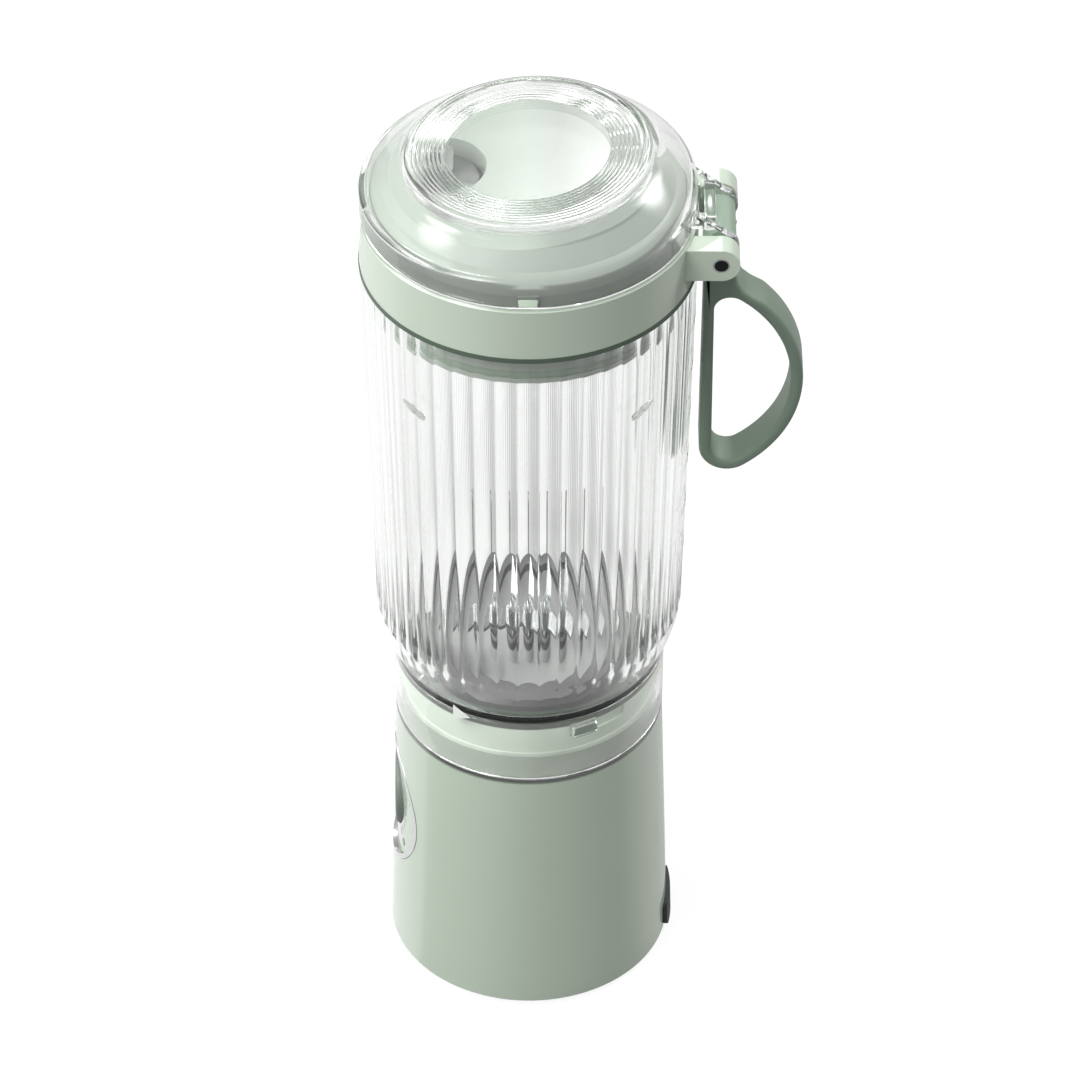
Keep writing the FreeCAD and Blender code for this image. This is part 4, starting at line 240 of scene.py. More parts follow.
@dataclass(frozen=True)
class Finish:
    """A procedural finish: colour, gloss, grain and, for clear pieces, transmission."""

    name: str
    color: Triple
    roughness: float = 0.4
    drift: float = 0.03
    grain_scale: float = 2500.0
    grain_depth: float = 0.02
    metallic: float = 0.0
    transmission: float = 0.0
    ior: float = 1.5
    coat: float = 0.0
    coat_roughness: float = 0.12
    subsurface: float = 0.0
    specular: float = 0.5
    brushed: Optional[Triple] = None
    dark_bands: tuple[Triple, ...] = ()

    def material(self) -> bpy.types.Material:
        """Builds the material, or returns it where it is already built.

        Returns:
            The Blender material of this finish.
        """
        label = f"{self.name} finish"
        found = bpy.data.materials.get(label)
        if found:
            return found
        material = bpy.data.materials.new(label)
        material.use_nodes = True
        tree = material.node_tree
        surface = add_node(tree, "Group")
        surface.node_tree = moulded_group()
        feed(tree, surface, {"Color": (*self.color, 1.0), "Drift": self.drift,
                             "Roughness": self.roughness, "Grain Scale": self.grain_scale})
        color = surface.outputs["Color"]
        # Darker bands by height; on the lid and the deck these are painted shade.
        for low, high, level in self.dark_bands:
            color = darkened_band(tree, color, (low, high), level)
        shader = tree.nodes["Principled BSDF"]
        feed(tree, shader, {
            "Base Color": color, "Metallic": self.metallic,
            "Roughness": surface.outputs["Roughness"], "IOR": self.ior,
            "Transmission Weight": self.transmission, "Specular IOR Level": self.specular,
            "Coat Weight": self.coat, "Coat Roughness": self.coat_roughness,
            "Subsurface Weight": self.subsurface, "Subsurface Scale": 1.0,
            "Subsurface Radius": (0.002, 0.002, 0.0015),
            "Normal": self.grain(tree, surface.outputs["Height"])})
        if self.transmission > 0.9:
            let_lamps_through(material, shader)
        return material

    def grain(self, tree: Tree, height: Socket) -> Socket:
        """Bump of the moulded grain or, on brushed metal, of its fine lines.

        Args:
            tree: The material's node tree.
            height: Height of the moulded grain.

        Returns:
            The socket that puts out the normal.
        """
        if self.brushed:
            coords = add_node(tree, "TexCoord").outputs["Object"]
            stretch = add_node(tree, "Mapping", {"Vector": coords, "Scale": self.brushed})
            height = add_node(tree, "TexNoise", {"Vector": stretch.outputs["Vector"],
                                                 "Scale": 900.0, "Detail": 3.0}).outputs["Fac"]
        bump = add_node(tree, "Bump", {"Strength": 0.35, "Distance": self.grain_depth * MM,
                                       "Height": height})
        return bump.outputs["Normal"]


SAGE_SHELL = Finish("sage_shell", (0.445, 0.525, 0.43), roughness=0.36, coat=1.0,
                    coat_roughness=0.07, specular=0.3, grain_depth=0.01,
                    dark_bands=((80.5, 82.0, 0.35),))
# Its band is painted shade in the gap under the cap's rim, on the collar's top face, z 248.2 to
# 248.7.
SAGE_LID = Finish("sage_lid", (0.475, 0.55, 0.46), roughness=0.36, coat=0.6, coat_roughness=0.1,
                  specular=0.3, grain_depth=0.015, dark_bands=((248.2, 248.7, 0.5),))
# A darker copy of the sage: painted shade, as lamp light passes the clear cap unshaded. Its bands
# paint more shade, on the deck's side and pocket floor under the cap's rim, z 246.5 to 253.2, and
# on its flat top under the disc, z 260.6 to 263.
SAGE_DECK_SHADED = Finish("sage_deck_shaded", (0.315, 0.352, 0.312), roughness=0.36, grain_depth=0.03,
                   dark_bands=((246.5, 253.2, 0.4), (260.6, 263.0, 0.68)))
# A lighter copy of the sage: painted light, the pale veil that the skirt shows over the neck; below
# z 89.8 the colour drops to 0.6 of it, where the veil is left out. It is also darker from z 98.5 to
# 102.
SAGE_NECK_LIT = Finish("sage_neck", (0.62, 0.69, 0.60), roughness=0.42,
                   dark_bands=((98.5, 102.0, 0.14), (80.0, 89.8, 0.6)))
# A darker copy of the sage: painted shade on the hinge barrel.
SAGE_BARREL_SHADED = Finish("sage_barrel_shaded", (0.25, 0.33, 0.26), roughness=0.5)
CLEAR = Finish("clear_plastic", (0.962, 0.969, 0.963), roughness=0.0, drift=0.0,
               transmission=1.0, grain_depth=0.0003)
CLEAR_RIB = replace(CLEAR, name="clear_rib", color=(0.62, 0.64, 0.62))
CLEAR_LUG = replace(CLEAR, name="clear_lug", color=(0.3, 0.33, 0.3))
BRIGHT = Finish("bright_trim", (0.62, 0.63, 0.62), roughness=0.16, metallic=1.0, drift=0.02)
TRIM_STEEL = Finish("trim_steel", (0.26, 0.27, 0.26), roughness=0.2, metallic=1.0, drift=0.02)
KNOB_GREY = Finish("knob_grey", (0.165, 0.19, 0.17), roughness=0.42, grain_depth=0.02)
DARK_RUBBER = Finish("dark_rubber", (0.022, 0.03, 0.026), roughness=0.6, grain_depth=0.04)
GREEN_SILICONE = Finish("green_silicone", (0.075, 0.11, 0.08), roughness=0.5)
SEAL_GREEN = Finish("seal_green", (0.2, 0.26, 0.2), roughness=0.5)
LOOP_SILICONE = Finish("loop_silicone", (0.165, 0.22, 0.17), roughness=0.5, grain_depth=0.03)
STOPPER = Finish("stopper_silicone", (0.17, 0.185, 0.17), roughness=0.3, transmission=0.2,
                 subsurface=0.3)
CARRIER = Finish("carrier_grey", (0.33, 0.33, 0.33), roughness=0.42,
                 dark_bands=((104.5, 107.3, 0.14), (106.9, 108.2, 0.5)))
NUT_DARK = Finish("nut_dark", (0.05, 0.065, 0.055), roughness=0.45)
BLADE_STEEL = Finish("blade_steel", (0.30, 0.31, 0.31), roughness=0.25, metallic=1.0,
                     brushed=(1.0, 12.0, 1.0))
MOTOR_STEEL = Finish("motor_steel", (0.55, 0.56, 0.57), roughness=0.32, metallic=1.0,
                     brushed=(1.0, 1.0, 14.0))
SCREW_STEEL = Finish("screw_steel", (0.45, 0.46, 0.47), roughness=0.35, metallic=1.0)
MAGNET = Finish("magnet_nickel", (0.65, 0.65, 0.63), roughness=0.2, metallic=1.0)
BRONZE = Finish("bronze", (0.55, 0.38, 0.18), roughness=0.35, metallic=1.0)
INNER_BLACK = Finish("inner_plastic", (0.02, 0.021, 0.021), roughness=0.5)
PIN_BLACK = Finish("pin_black", (0.006, 0.006, 0.006), roughness=0.55, specular=0.2)
CELL_WRAP = Finish("cell_wrap", (0.05, 0.18, 0.15), roughness=0.3)
BOARD_GREEN = Finish("board_green", (0.01, 0.09, 0.035), roughness=0.4)
PRINT_GREY = Finish("print_grey", (0.30, 0.33, 0.31), roughness=0.5)
PRINT_PALE = Finish("print_pale", (0.72, 0.77, 0.71), roughness=0.5)


# ---- mesh helpers -----------------------------------------------------------------------
def spin_profile(mesh: BMesh, points: Sequence[Point], steps: int,
                 closed: bool) -> None:
    """Turns an outline of (radius, height) in millimetres into a surface about Z.

    Args:
        mesh: The bmesh that takes the surface.
        points: The outline, from one end to the other.
        steps: Number of steps round the circle.
        closed: Whether the outline's last point joins its first.
    """
    verts = [mesh.verts.new((r * MM, 0.0, z * MM)) for r, z in points]
    pairs = list(zip(verts, verts[1:]))
    if closed:
        pairs.append((verts[-1], verts[0]))
    edges = [mesh.edges.new(pair) for pair in pairs]
    bmesh.ops.spin(mesh, geom=verts + edges, cent=(0, 0, 0), axis=(0, 0, 1),
                   angle=2 * math.pi, steps=steps, use_merge=True)
    bmesh.ops.remove_doubles(mesh, verts=mesh.verts, dist=1e-6)


def arc(centre: Point, radius: float, start: float, end: float, count: int) -> list[Point]:
    """Points on an arc, from one angle in degrees to another, both ends included."""
    points = []
    for i in range(count + 1):
        angle = math.radians(start + (end - start) * i / count)
        points.append((centre[0] + radius * math.cos(angle), centre[1] + radius * math.sin(angle)))
    return points


def stepped(start: Point, end: Point, count: int) -> list[Point]:
    """Evenly spaced points after the start, up to and with the end."""
    return [(start[0] + (end[0] - start[0]) * i / count, start[1] + (end[1] - start[1]) * i / count)
            for i in range(1, count + 1)]


def extrude(mesh: BMesh, faces: list, step: Sequence[float]) -> None:
    """Makes a solid of flat faces by a copy of them at a step in metres."""
    grown = bmesh.ops.extrude_face_region(mesh, geom=faces, use_keep_orig=True)
    verts = [item for item in grown["geom"] if isinstance(item, bmesh.types.BMVert)]
    bmesh.ops.translate(mesh, vec=step, verts=verts)
    bmesh.ops.recalc_face_normals(mesh, faces=mesh.faces)


def rounded(mesh: BMesh, edges: list, width: float, segments: int = 3) -> None:
    """Rounds edges by a width in millimetres."""
    bmesh.ops.bevel(mesh, geom=edges, offset=width * MM, segments=segments, affect="EDGES",
                    profile=0.5, material=-1)


def prism(outline: Sequence[Point], low: float, high: float, edge: float = 0.0,
          axis: str = "y") -> BMesh:
    """Extrudes an outline and rounds its edges.

    Args:
        outline: Points in millimetres; (x, z) for an extrusion along y, (x, y) along z.
        low: Where the extrusion starts.
        high: Where it ends.
        edge: Width of the rounding on the two end rims.
        axis: "y" or "z".

    Returns:
        The solid as a bmesh, in metres.
    """
    mesh = bmesh.new()
    index = "xyz".index(axis)
    step = Vector((0.0, 0.0, 0.0))
    step[index] = (high - low) * MM
    verts = []
    for point in outline:
        corner = list(point)
        corner.insert(index, low)
        verts.append(mesh.verts.new(Vector(corner) * MM))
    face = mesh.faces.new(verts)
    extrude(mesh, [face], step)
    if edge > 0:
        ends = (low * MM, high * MM)
        rims = [item for item in mesh.edges if
                any(all(abs(vert.co[index] - end) < 1e-7 for vert in item.verts) for end in ends)]
        rounded(mesh, rims, edge)
    return mesh


def block(low: Sequence[float], high: Sequence[float], edge: float) -> BMesh:
    """Box between two corners in millimetres, with every edge rounded."""
    mesh = bmesh.new()
    size = [(b - a) * MM for a, b in zip(low, high)]
    middle = [(b + a) / 2 * MM for a, b in zip(low, high)]
    matrix = Matrix.Translation(middle) @ Matrix.Diagonal((*size, 1.0))
    bmesh.ops.create_cube(mesh, size=1.0, matrix=matrix)
    rounded(mesh, list(mesh.edges), edge)
    return mesh


def merge(first: BMesh, second: BMesh) -> None:
    """Adds the second bmesh's shape to the first and frees the second."""
    data = bpy.data.meshes.new("joining")
    second.to_mesh(data)
    second.free()
    first.from_mesh(data)
    bpy.data.meshes.remove(data)


def turn_z(mesh: BMesh, degrees: float) -> BMesh:
    """Turns a bmesh about the upright axis."""
    bmesh.ops.rotate(mesh, cent=(0, 0, 0), matrix=Matrix.Rotation(math.radians(degrees), 3, "Z"),
                     verts=mesh.verts)
    return mesh


def outward(point: Vector) -> Vector:
    """Horizontal unit vector away from the upright axis at a point."""
    return Vector((point.x, point.y, 0.0)).normalized()


def laid(mesh: BMesh, place: Mapping) -> BMesh:
    """Lays a flat shape on a surface.

    Args:
        mesh: The shape in metres, x across, y up and z out of the surface; it is changed.
        place: Maps (across, up) in millimetres to a point on the surface in metres.

    Returns:
        The same bmesh.
    """
    for vert in mesh.verts:
        base = place(vert.co.x / MM, vert.co.y / MM)
        vert.co = base + outward(base) * vert.co.z
    return mesh


def lettered(text: str, height: float, depth: float, place: Mapping) -> BMesh:
    """Raised or printed characters laid on a surface.

    Args:
        text: Plain numbers or marks.
        height: Character height in millimetres.
        depth: Thickness of the print in millimetres.
        place: Maps (across, up) in millimetres to a point on the surface in metres.

    Returns:
        The characters as a bmesh.
    """
    curve = bpy.data.curves.new("marking", "FONT")
    curve.body = text
    curve.size = height * 1.4
    curve.align_x = "CENTER"
    curve.align_y = "CENTER"
    curve.extrude = depth / 2
    curve.resolution_u = 3
    holder = bpy.data.objects.new("marking", curve)
    bpy.context.scene.collection.objects.link(holder)
    bpy.context.view_layer.update()
    data = bpy.data.meshes.new_from_object(holder)
    bpy.data.objects.remove(holder)
    bpy.data.curves.remove(curve)
    mesh = bmesh.new()
    mesh.from_mesh(data)
    bpy.data.meshes.remove(data)
    bmesh.ops.remove_doubles(mesh, verts=mesh.verts, dist=1e-5)
    bmesh.ops.scale(mesh, vec=(MM, MM, MM), verts=mesh.verts)
    return laid(mesh, place)


def on_round(radius_at: Callable[[float], float], azimuth: float, z: float) -> Mapping:
    """Mapping of flat marks onto a round wall.

    Args:
        radius_at: Radius in millimetres at a height.
        azimuth: Direction of the mark's middle in degrees.
        z: Height of the mark's middle in millimetres.

    Returns:
        A function of (across, up) in millimetres that gives a point in metres.
    """
    def place(across: float, up: float) -> Vector:
        height = z + up
        radius = radius_at(height)
        angle = math.radians(azimuth) + across / radius
        return Vector((radius * math.cos(angle), radius * math.sin(angle), height)) * MM
    return place


def new_object(name: str, mesh: BMesh, material: bpy.types.Material) -> bpy.types.Object:
    """Makes a smooth object of a bmesh, which is freed, and puts it into the scene."""
    data = bpy.data.meshes.new(name)
    mesh.to_mesh(data)
    mesh.free()
    data.shade_smooth()
    data.materials.append(material)
    obj = bpy.data.objects.new(name, data)
    bpy.context.scene.collection.objects.link(obj)
    return obj


@dataclass
class Maker:
    """Turns bmeshes into finished pieces that ride on a body."""

    sharp_angle: float = 35.0
    made: list[str] = field(default_factory=list)

    def piece(self, name: str, mesh: BMesh, finish: Finish, body: Place,
              replaces: Sequence[str] = (), sharp: Optional[float] = None) -> None:
        """Makes an object from a bmesh, dresses it and puts it on its body.

        Args:
            name: The object's name.
            mesh: The shape, in metres, in place; it is freed.
            finish: The finish that covers it.
            body: The body that it rides on.
            replaces: CAD nodes that it stands for.
            sharp: Angle in degrees above which an edge stays sharp.
        """
        bmesh.ops.recalc_face_normals(mesh, faces=mesh.faces)
        obj = new_object(name, mesh, finish.material())
        obj.data.set_sharp_from_angle(angle=math.radians(sharp or self.sharp_angle))
        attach(obj, body.value)
        if replaces:
            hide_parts(*replaces)
        self.made.append(name)
        LOG.info("%s: %d faces on %s", name, len(obj.data.polygons), body.value)


# ---- carried-over nodes -----------------------------------------------------------------
FINISHED_NODES: dict[Finish, str] = {
    SAGE_SHELL: "base_shell bottom_cover control_plate", SAGE_NECK_LIT: "top_deck",
    SAGE_LID: "lid_collar", SAGE_DECK_SHADED: "lid_deck", SAGE_BARREL_SHADED: "hinge_barrel",
    TRIM_STEEL: "trim_ring", BRIGHT: "control_bezel pin_ferrules", CLEAR: "jar flip_cap",
    STOPPER: "spout_stopper", LOOP_SILICONE: "carry_loop", KNOB_GREY: "control_knob",
    PIN_BLACK: "pin_caps", DARK_RUBBER: "foot_pad port_cover shaft_seal",
    GREEN_SILICONE: "carrier_gasket collar_gasket", SEAL_GREEN: "lid_seal",
    CARRIER: "blade_carrier", NUT_DARK: "carrier_nut", MAGNET: "interlock_magnet",
    BLADE_STEEL: "blade_shaft lower_blade upper_blade blade_nut", BRONZE: "bearing_bush",
    MOTOR_STEEL: "motor_can motor_bracket motor_shaft usb_socket hinge_pin",
    SCREW_STEEL: "base_screws motor_screws bracket_screws", CELL_WRAP: "battery_cells",
    BOARD_GREEN: "control_board charge_board",
    INNER_BLACK: "battery_cradle rotary_switch interlock_sensor knob_shaft drive_coupler "
                 "driven_coupler",
}


def dress_nodes(nodes: dict[str, bpy.types.Object]) -> None:
    """Gives every carried-over node its finish.

    Args:
        nodes: The CAD nodes by name.
    """
    for finish, names in FINISHED_NODES.items():
        for name in names.split():
            obj = nodes[name]
            if not obj.material_slots:
                obj.data.materials.append(finish.material())
            for slot in obj.material_slots:
                slot.material = finish.material()
            LOG.info("%s: %s", name, finish.name)


@dataclass
class Jar:
    """Clear jar: fluted body, plain neck, floor ledge and skirt. Millimetres."""

    skirt: tuple[Point, ...] = ((36.3, 82.1), (36.5, 104.8))
    shoulder_foot: Point = (37.3, 106.4)
    body_foot: Point = (40.8, 118.0)
    body_top: Point = (43.7, 231.7)
    neck_radius: float = 41.4
    mouth_radius: float = 39.4
    mouth_z: float = 244.0
    floor_z: float = 104.0
    ledge_z: float = 101.5
    hole_radius: float = 27.2
    skirt_inner: float = 34.3
    inner_foot: Point = (37.2, 118.0)
    flutes: int = 48
    flute_depth: float = 0.5
    steps_per_flute: int = 10
    fluted_from: float = 36.4
    wall: float = 2.2
    fade: Point = (111.0, 123.0)

    def outline(self) -> list[Point]:
        """Closed outline of the wall, counter-clockwise from the skirt's outer foot."""
        (low_x, low_z), (high_x, high_z) = self.skirt
        foot_x, foot_z = self.shoulder_foot
        top_x, top_z = self.body_top
        neck, mouth, rim = self.neck_radius, self.mouth_radius, self.mouth_z
        hole, floor, ledge, inner = self.hole_radius, self.floor_z, self.ledge_z, self.skirt_inner
        points = [(low_x - 0.5, low_z), (low_x - 0.12, low_z + 0.12), (low_x, low_z + 0.5)]
        points += stepped(points[-1], (high_x, high_z), 3)
        points += [(high_x + 0.25, high_z + 0.7), (foot_x - 0.15, foot_z - 0.35)]
        points += shoulder_curve((foot_x, foot_z), (39.3, 111.5), self.body_foot, 14)
        points += stepped(self.body_foot, (top_x, top_z - 0.4), 12)
        points += [(top_x - 0.12, top_z - 0.1), (top_x - 0.4, top_z), (neck + 0.3, top_z),
                   (neck, top_z + 0.3), (neck, rim - 0.6), (neck - 0.2, rim - 0.1),
                   (neck - 0.6, rim), (mouth + 0.4, rim), (mouth + 0.1, rim - 0.15),
                   (mouth, rim - 0.5)]
        points += stepped(points[-1], self.inner_foot, 10)
        points += shoulder_curve(self.inner_foot, (35.0, 109.0), (33.5, floor + 0.3), 10)
        points += [(33.2, floor), (hole + 0.3, floor), (hole, floor - 0.3), (hole, ledge + 0.3),
                   (hole + 0.3, ledge), (inner - 0.8, ledge), (inner - 0.2, ledge - 0.2),
                   (inner, ledge - 0.8)]
        points += stepped(points[-1], (inner, low_z + 0.4), 3)
        return points + [(inner + 0.12, low_z + 0.1), (inner + 0.4, low_z)]

    def ridge_radius(self, z: float) -> float:
        """Radius of the ridges at a height."""
        share = (z - self.body_foot[1]) / (self.body_top[1] - self.body_foot[1])
        return self.body_foot[0] + share * (self.body_top[0] - self.body_foot[0])

    def flute(self, mesh: BMesh) -> None:
        """Presses the flutes into the outer wall's vertices."""
        for vert in mesh.verts:
            x, y, z = (value / MM for value in vert.co)
            radius = math.hypot(x, y)
            if (radius < self.fluted_from or z > self.body_top[1] - 0.02
                    or z < self.shoulder_foot[1]):
                continue
            if radius < self.ridge_radius(z) - self.wall and z > self.body_foot[1]:
                continue
            turn = math.atan2(y, x) / (2 * math.pi) * self.flutes
            offset = 2 * abs(turn - round(turn))
            fade = min(max((z - self.fade[0]) / (self.fade[1] - self.fade[0]), 0.0), 1.0)
            depth = self.flute_depth * fade * fade * (3 - 2 * fade)
            hollow = min(self.ridge_radius(z), radius) - depth * (1 - offset ** 2)
            if hollow < radius:
                vert.co.x *= hollow / radius
                vert.co.y *= hollow / radius

    def build(self, maker: Maker) -> None:
        """Makes the jar."""
        mesh = bmesh.new()
        spin_profile(mesh, self.outline(), self.flutes * self.steps_per_flute, True)
        self.flute(mesh)
        maker.piece("jar_wall", mesh, CLEAR, Place.JAR, ["jar"], sharp=60)


def shoulder_curve(start: Point, middle: Point, end: Point, count: int) -> list[Point]:
    """Points of a smooth curve from a start over a middle point to an end."""
    bend = (2 * middle[0] - (start[0] + end[0]) / 2, 2 * middle[1] - (start[1] + end[1]) / 2)
    points = []
    for i in range(count + 1):
        t = i / count
        weights = ((1 - t) ** 2, 2 * t * (1 - t), t ** 2)
        points.append(tuple(weights[0] * start[k] + weights[1] * bend[k] + weights[2] * end[k]
                            for k in (0, 1)))
    return points


@dataclass
class FlipCap:
    """Clear hinged cap: rim, rounded shoulder, grooved disc, ears, web and latch tongue."""

    rim_radius: float = 43.4
    rim_low: float = 248.8
    rim_high: float = 254.8
    wall: float = 1.8
    shoulder_radius: float = 33.4
    shoulder_z: float = 264.0
    disc_radius: float = 32.0
    disc_z: float = 266.5
    disc_low: float = 263.1
    tilt: float = 3.2
    grooves: int = 9
    corner: float = 3.2
    facet: float = 43.09
    hinge: Point = HINGE
    ear_radius: float = 4.8
    ear_reach: Point = (7.65, 10.65)
    groove_foot: float = 21.0
    groove_field: float = 9.6
    tongue_reach: Point = (237.4, 253.6)
    tongue_half: float = 7.85
    tongue_radius: float = 43.35
    nub_reach: Point = (39.6, 41.2)

    def cone_lean(self) -> float:
        """Angle in radians at which the rim's rounding meets the straight cone."""
        run = self.shoulder_radius - (self.rim_radius - self.corner)
        rise = self.shoulder_z - self.rim_high
        return math.atan2(rise, run) - math.acos(self.corner / math.hypot(run, rise))

    def outline(self) -> list[Point]:
        """Open outline from the middle of the disc's top to the middle of its underside."""
        disc, top, shoulder = self.disc_radius, self.disc_z, self.shoulder_z
        rim, low, high, corner = self.rim_radius, self.rim_low, self.rim_high, self.corner
        points: list[Point] = [(0.0, top), (10.0, top), (20.9, top)]
        pitch = self.groove_field / self.grooves
        for i in range(self.grooves):
            inner = self.groove_foot + i * pitch
            points += [(inner, top), (inner + 0.12, top - 0.22), (inner + 0.34, top - 0.3),
                       (inner + 0.62, top - 0.12), (inner + pitch - 0.2, top)]
        edge = 1.2
        points += arc((disc - edge, top - edge), edge, 88, 2, 6)
        points += [(disc, top - 1.7), (disc + 0.25, shoulder + 0.12), (disc + 0.7, shoulder)]
        lean = self.cone_lean()
        start = (rim - corner + corner * math.cos(lean), high + corner * math.sin(lean))
        points += stepped((self.shoulder_radius, shoulder), start, 8)
        points += arc((rim - corner, high), corner, math.degrees(lean), 0, 8)[1:]
        points += [(rim, high - 1.0), (rim, low + 1.0), (rim, low + 0.5),
                   (rim - 0.15, low + 0.12), (rim - 0.5, low)]
        inner = rim - self.wall
        points += [(inner + 0.4, low), (inner, low + 0.4), (inner, high)]
        corner -= 0.6
        start = (inner - corner + corner * math.cos(lean), high + corner * math.sin(lean))
        points += arc((inner - corner, high), corner, 0, math.degrees(lean), 8)[1:]
        inner, low = self.shoulder_radius - self.wall, self.disc_low
        points += stepped(start, (inner, low), 8)
        return points + [(inner - 0.6, low), (15.0, low), (0.0, low)]

    def shape(self, mesh: BMesh) -> None:
        """Tilts the disc and cuts the two flats into the rim."""
        slope = math.tan(math.radians(self.tilt))
        rise = self.shoulder_z - self.rim_high - 1.5
        for vert in mesh.verts:
            share = min(max((vert.co.z / MM - self.rim_high) / rise, 0.0), 1.0)
            if abs(vert.co.y) > self.facet * MM:
                vert.co.y = math.copysign(self.facet * MM, vert.co.y)
            vert.co.z += vert.co.x * slope * math.sin(share * math.pi / 2)

    def ear_outline(self) -> list[Point]:
        """Outline of one hinge ear, as (x, z)."""
        root = self.rim_radius - 1.4
        front = self.hinge[0] - self.ear_radius
        return ([(root, self.rim_high - 0.8)] + arc(self.hinge, self.ear_radius, 72, -180, 24)
                + [(front, self.rim_low - 0.8), (front - 0.4, self.rim_low), (root, self.rim_low)])

    def tongue(self) -> BMesh:
        """Thin rounded tongue that hangs from the rim into the collar's recess."""
        mesh = bmesh.new()
        bmesh.ops.create_grid(mesh, x_segments=20, y_segments=20, size=1.0)
        low, high = self.tongue_reach
        place = on_round(lambda z: self.tongue_radius, 180.0, (low + high) / 2)
        for vert in mesh.verts:
            u, v = vert.co.x, vert.co.y
            squeeze = max((1 - min(max(-v, 0.0), 1.0) ** 5) ** 0.2, 0.62)
            vert.co = place(u * self.tongue_half * squeeze, v * (high - low) / 2)
        bmesh.ops.recalc_face_normals(mesh, faces=mesh.faces)
        bmesh.ops.solidify(mesh, geom=list(mesh.faces), thickness=0.5 * MM)
        return mesh

    def build(self, maker: Maker) -> None:
        """Makes the cap."""
        mesh = bmesh.new()
        spin_profile(mesh, self.outline(), 256, False)
        self.shape(mesh)
        maker.piece("cap_dome", mesh, CLEAR, Place.CAP, ["flip_cap"], sharp=50)
        for side, name in ((-1, "cap_ear_left"), (1, "cap_ear_right")):
            low, high = sorted(side * y for y in self.ear_reach)
            ear = prism(self.ear_outline(), low, high, 0.5)
            maker.piece(name, ear, CLEAR, Place.CAP)
        x, z = self.hinge
        web = block((x - 4.2, -7.9, z + 4.8), (x - 1.2, 7.9, z + 8.4), 0.5)
        maker.piece("cap_web", web, CLEAR, Place.CAP)
        maker.piece("cap_tongue", self.tongue(), CLEAR, Place.CAP)
        for side, name in ((-1, "lid_nub_front"), (1, "lid_nub_back")):
            maker.piece(name, self.nub(side), SAGE_LID, Place.LID)

    def nub(self, side: int) -> BMesh:
        """Small tapered nub on the deck's side that the cap's flat snaps over."""
        outline = [(-2.0, 247.0), (2.0, 247.0), (2.6, 250.2), (2.3, 250.9), (-2.3, 250.9),
                   (-2.6, 250.2)]
        low, high = sorted(side * y for y in self.nub_reach)
        return prism(outline, low, high, 0.25)


@dataclass
class CarryLoop:
    """Soft carry loop: a D-shaped band with a neck that grips the barrel."""

    front: float = 44.7
    thickness: float = 3.3
    bow_centre: Point = (36.1, 195.0)
    bow_radius: float = 35.5
    corner: float = 7.5
    half_width: float = 5.6
    rounding: float = 1.3
    neck: tuple[Point, ...] = ((57.6, 222.4), (55.4, 224.4), (54.2, 226.6), (53.5, 229.6))
    neck_corner: Point = (60.5, 217.0)
    seat_radius: float = 4.22
    hinge: Point = HINGE

    def loop(self, inset: float) -> list[Point]:
        """Closed D-shaped outline, moved in by an inset, from the front's foot."""
        front = self.front + inset
        bow = self.bow_radius - inset
        corner = self.corner - inset
        cx = front + corner
        half = math.sqrt((bow - corner) ** 2 - (cx - self.bow_centre[0]) ** 2)
        lean = math.degrees(math.atan2(half, cx - self.bow_centre[0]))
        low = (cx, self.bow_centre[1] - half)
        high = (cx, self.bow_centre[1] + half)
        points = arc(low, corner, 180, 360 - lean, 12)
        points += arc(self.bow_centre, bow, -lean, lean, 48)[1:-1]
        points += arc(high, corner, lean, 180, 12)
        return points

    def outer(self) -> list[Point]:
        """Outer outline with the neck, from the front's foot."""
        x, z = self.neck_corner
        kept = [point for point in self.loop(0.0) if not (point[1] > z and point[0] < x)]
        return kept + list(self.neck) + arc(self.hinge, self.seat_radius, -24, -156, 12)

    def build(self, maker: Maker) -> None:
        """Makes the loop as one band with rounded rims."""
        mesh = bmesh.new()
        low = -self.half_width * MM
        rings = []
        for outline in (self.outer(), self.loop(self.thickness)):
            verts = [mesh.verts.new((x * MM, low, z * MM)) for x, z in outline]
            pairs = list(zip(verts, verts[1:] + verts[:1]))
            rings.append([mesh.edges.new(pair) for pair in pairs])
        bmesh.ops.triangle_fill(mesh, use_beauty=True, edges=rings[0] + rings[1])
        extrude(mesh, list(mesh.faces), (0, 2 * self.half_width * MM, 0))
        rims = [edge for edge in mesh.edges
                if len(edge.link_faces) == 2 and edge.calc_face_angle(0.0) > 1.0
                and abs(edge.verts[0].co.y - edge.verts[1].co.y) < 1e-7]
        rounded(mesh, rims, self.rounding, 4)
        maker.piece("loop_band", mesh, LOOP_SILICONE, Place.LOOP,
                    ["carry_loop"], sharp=40)


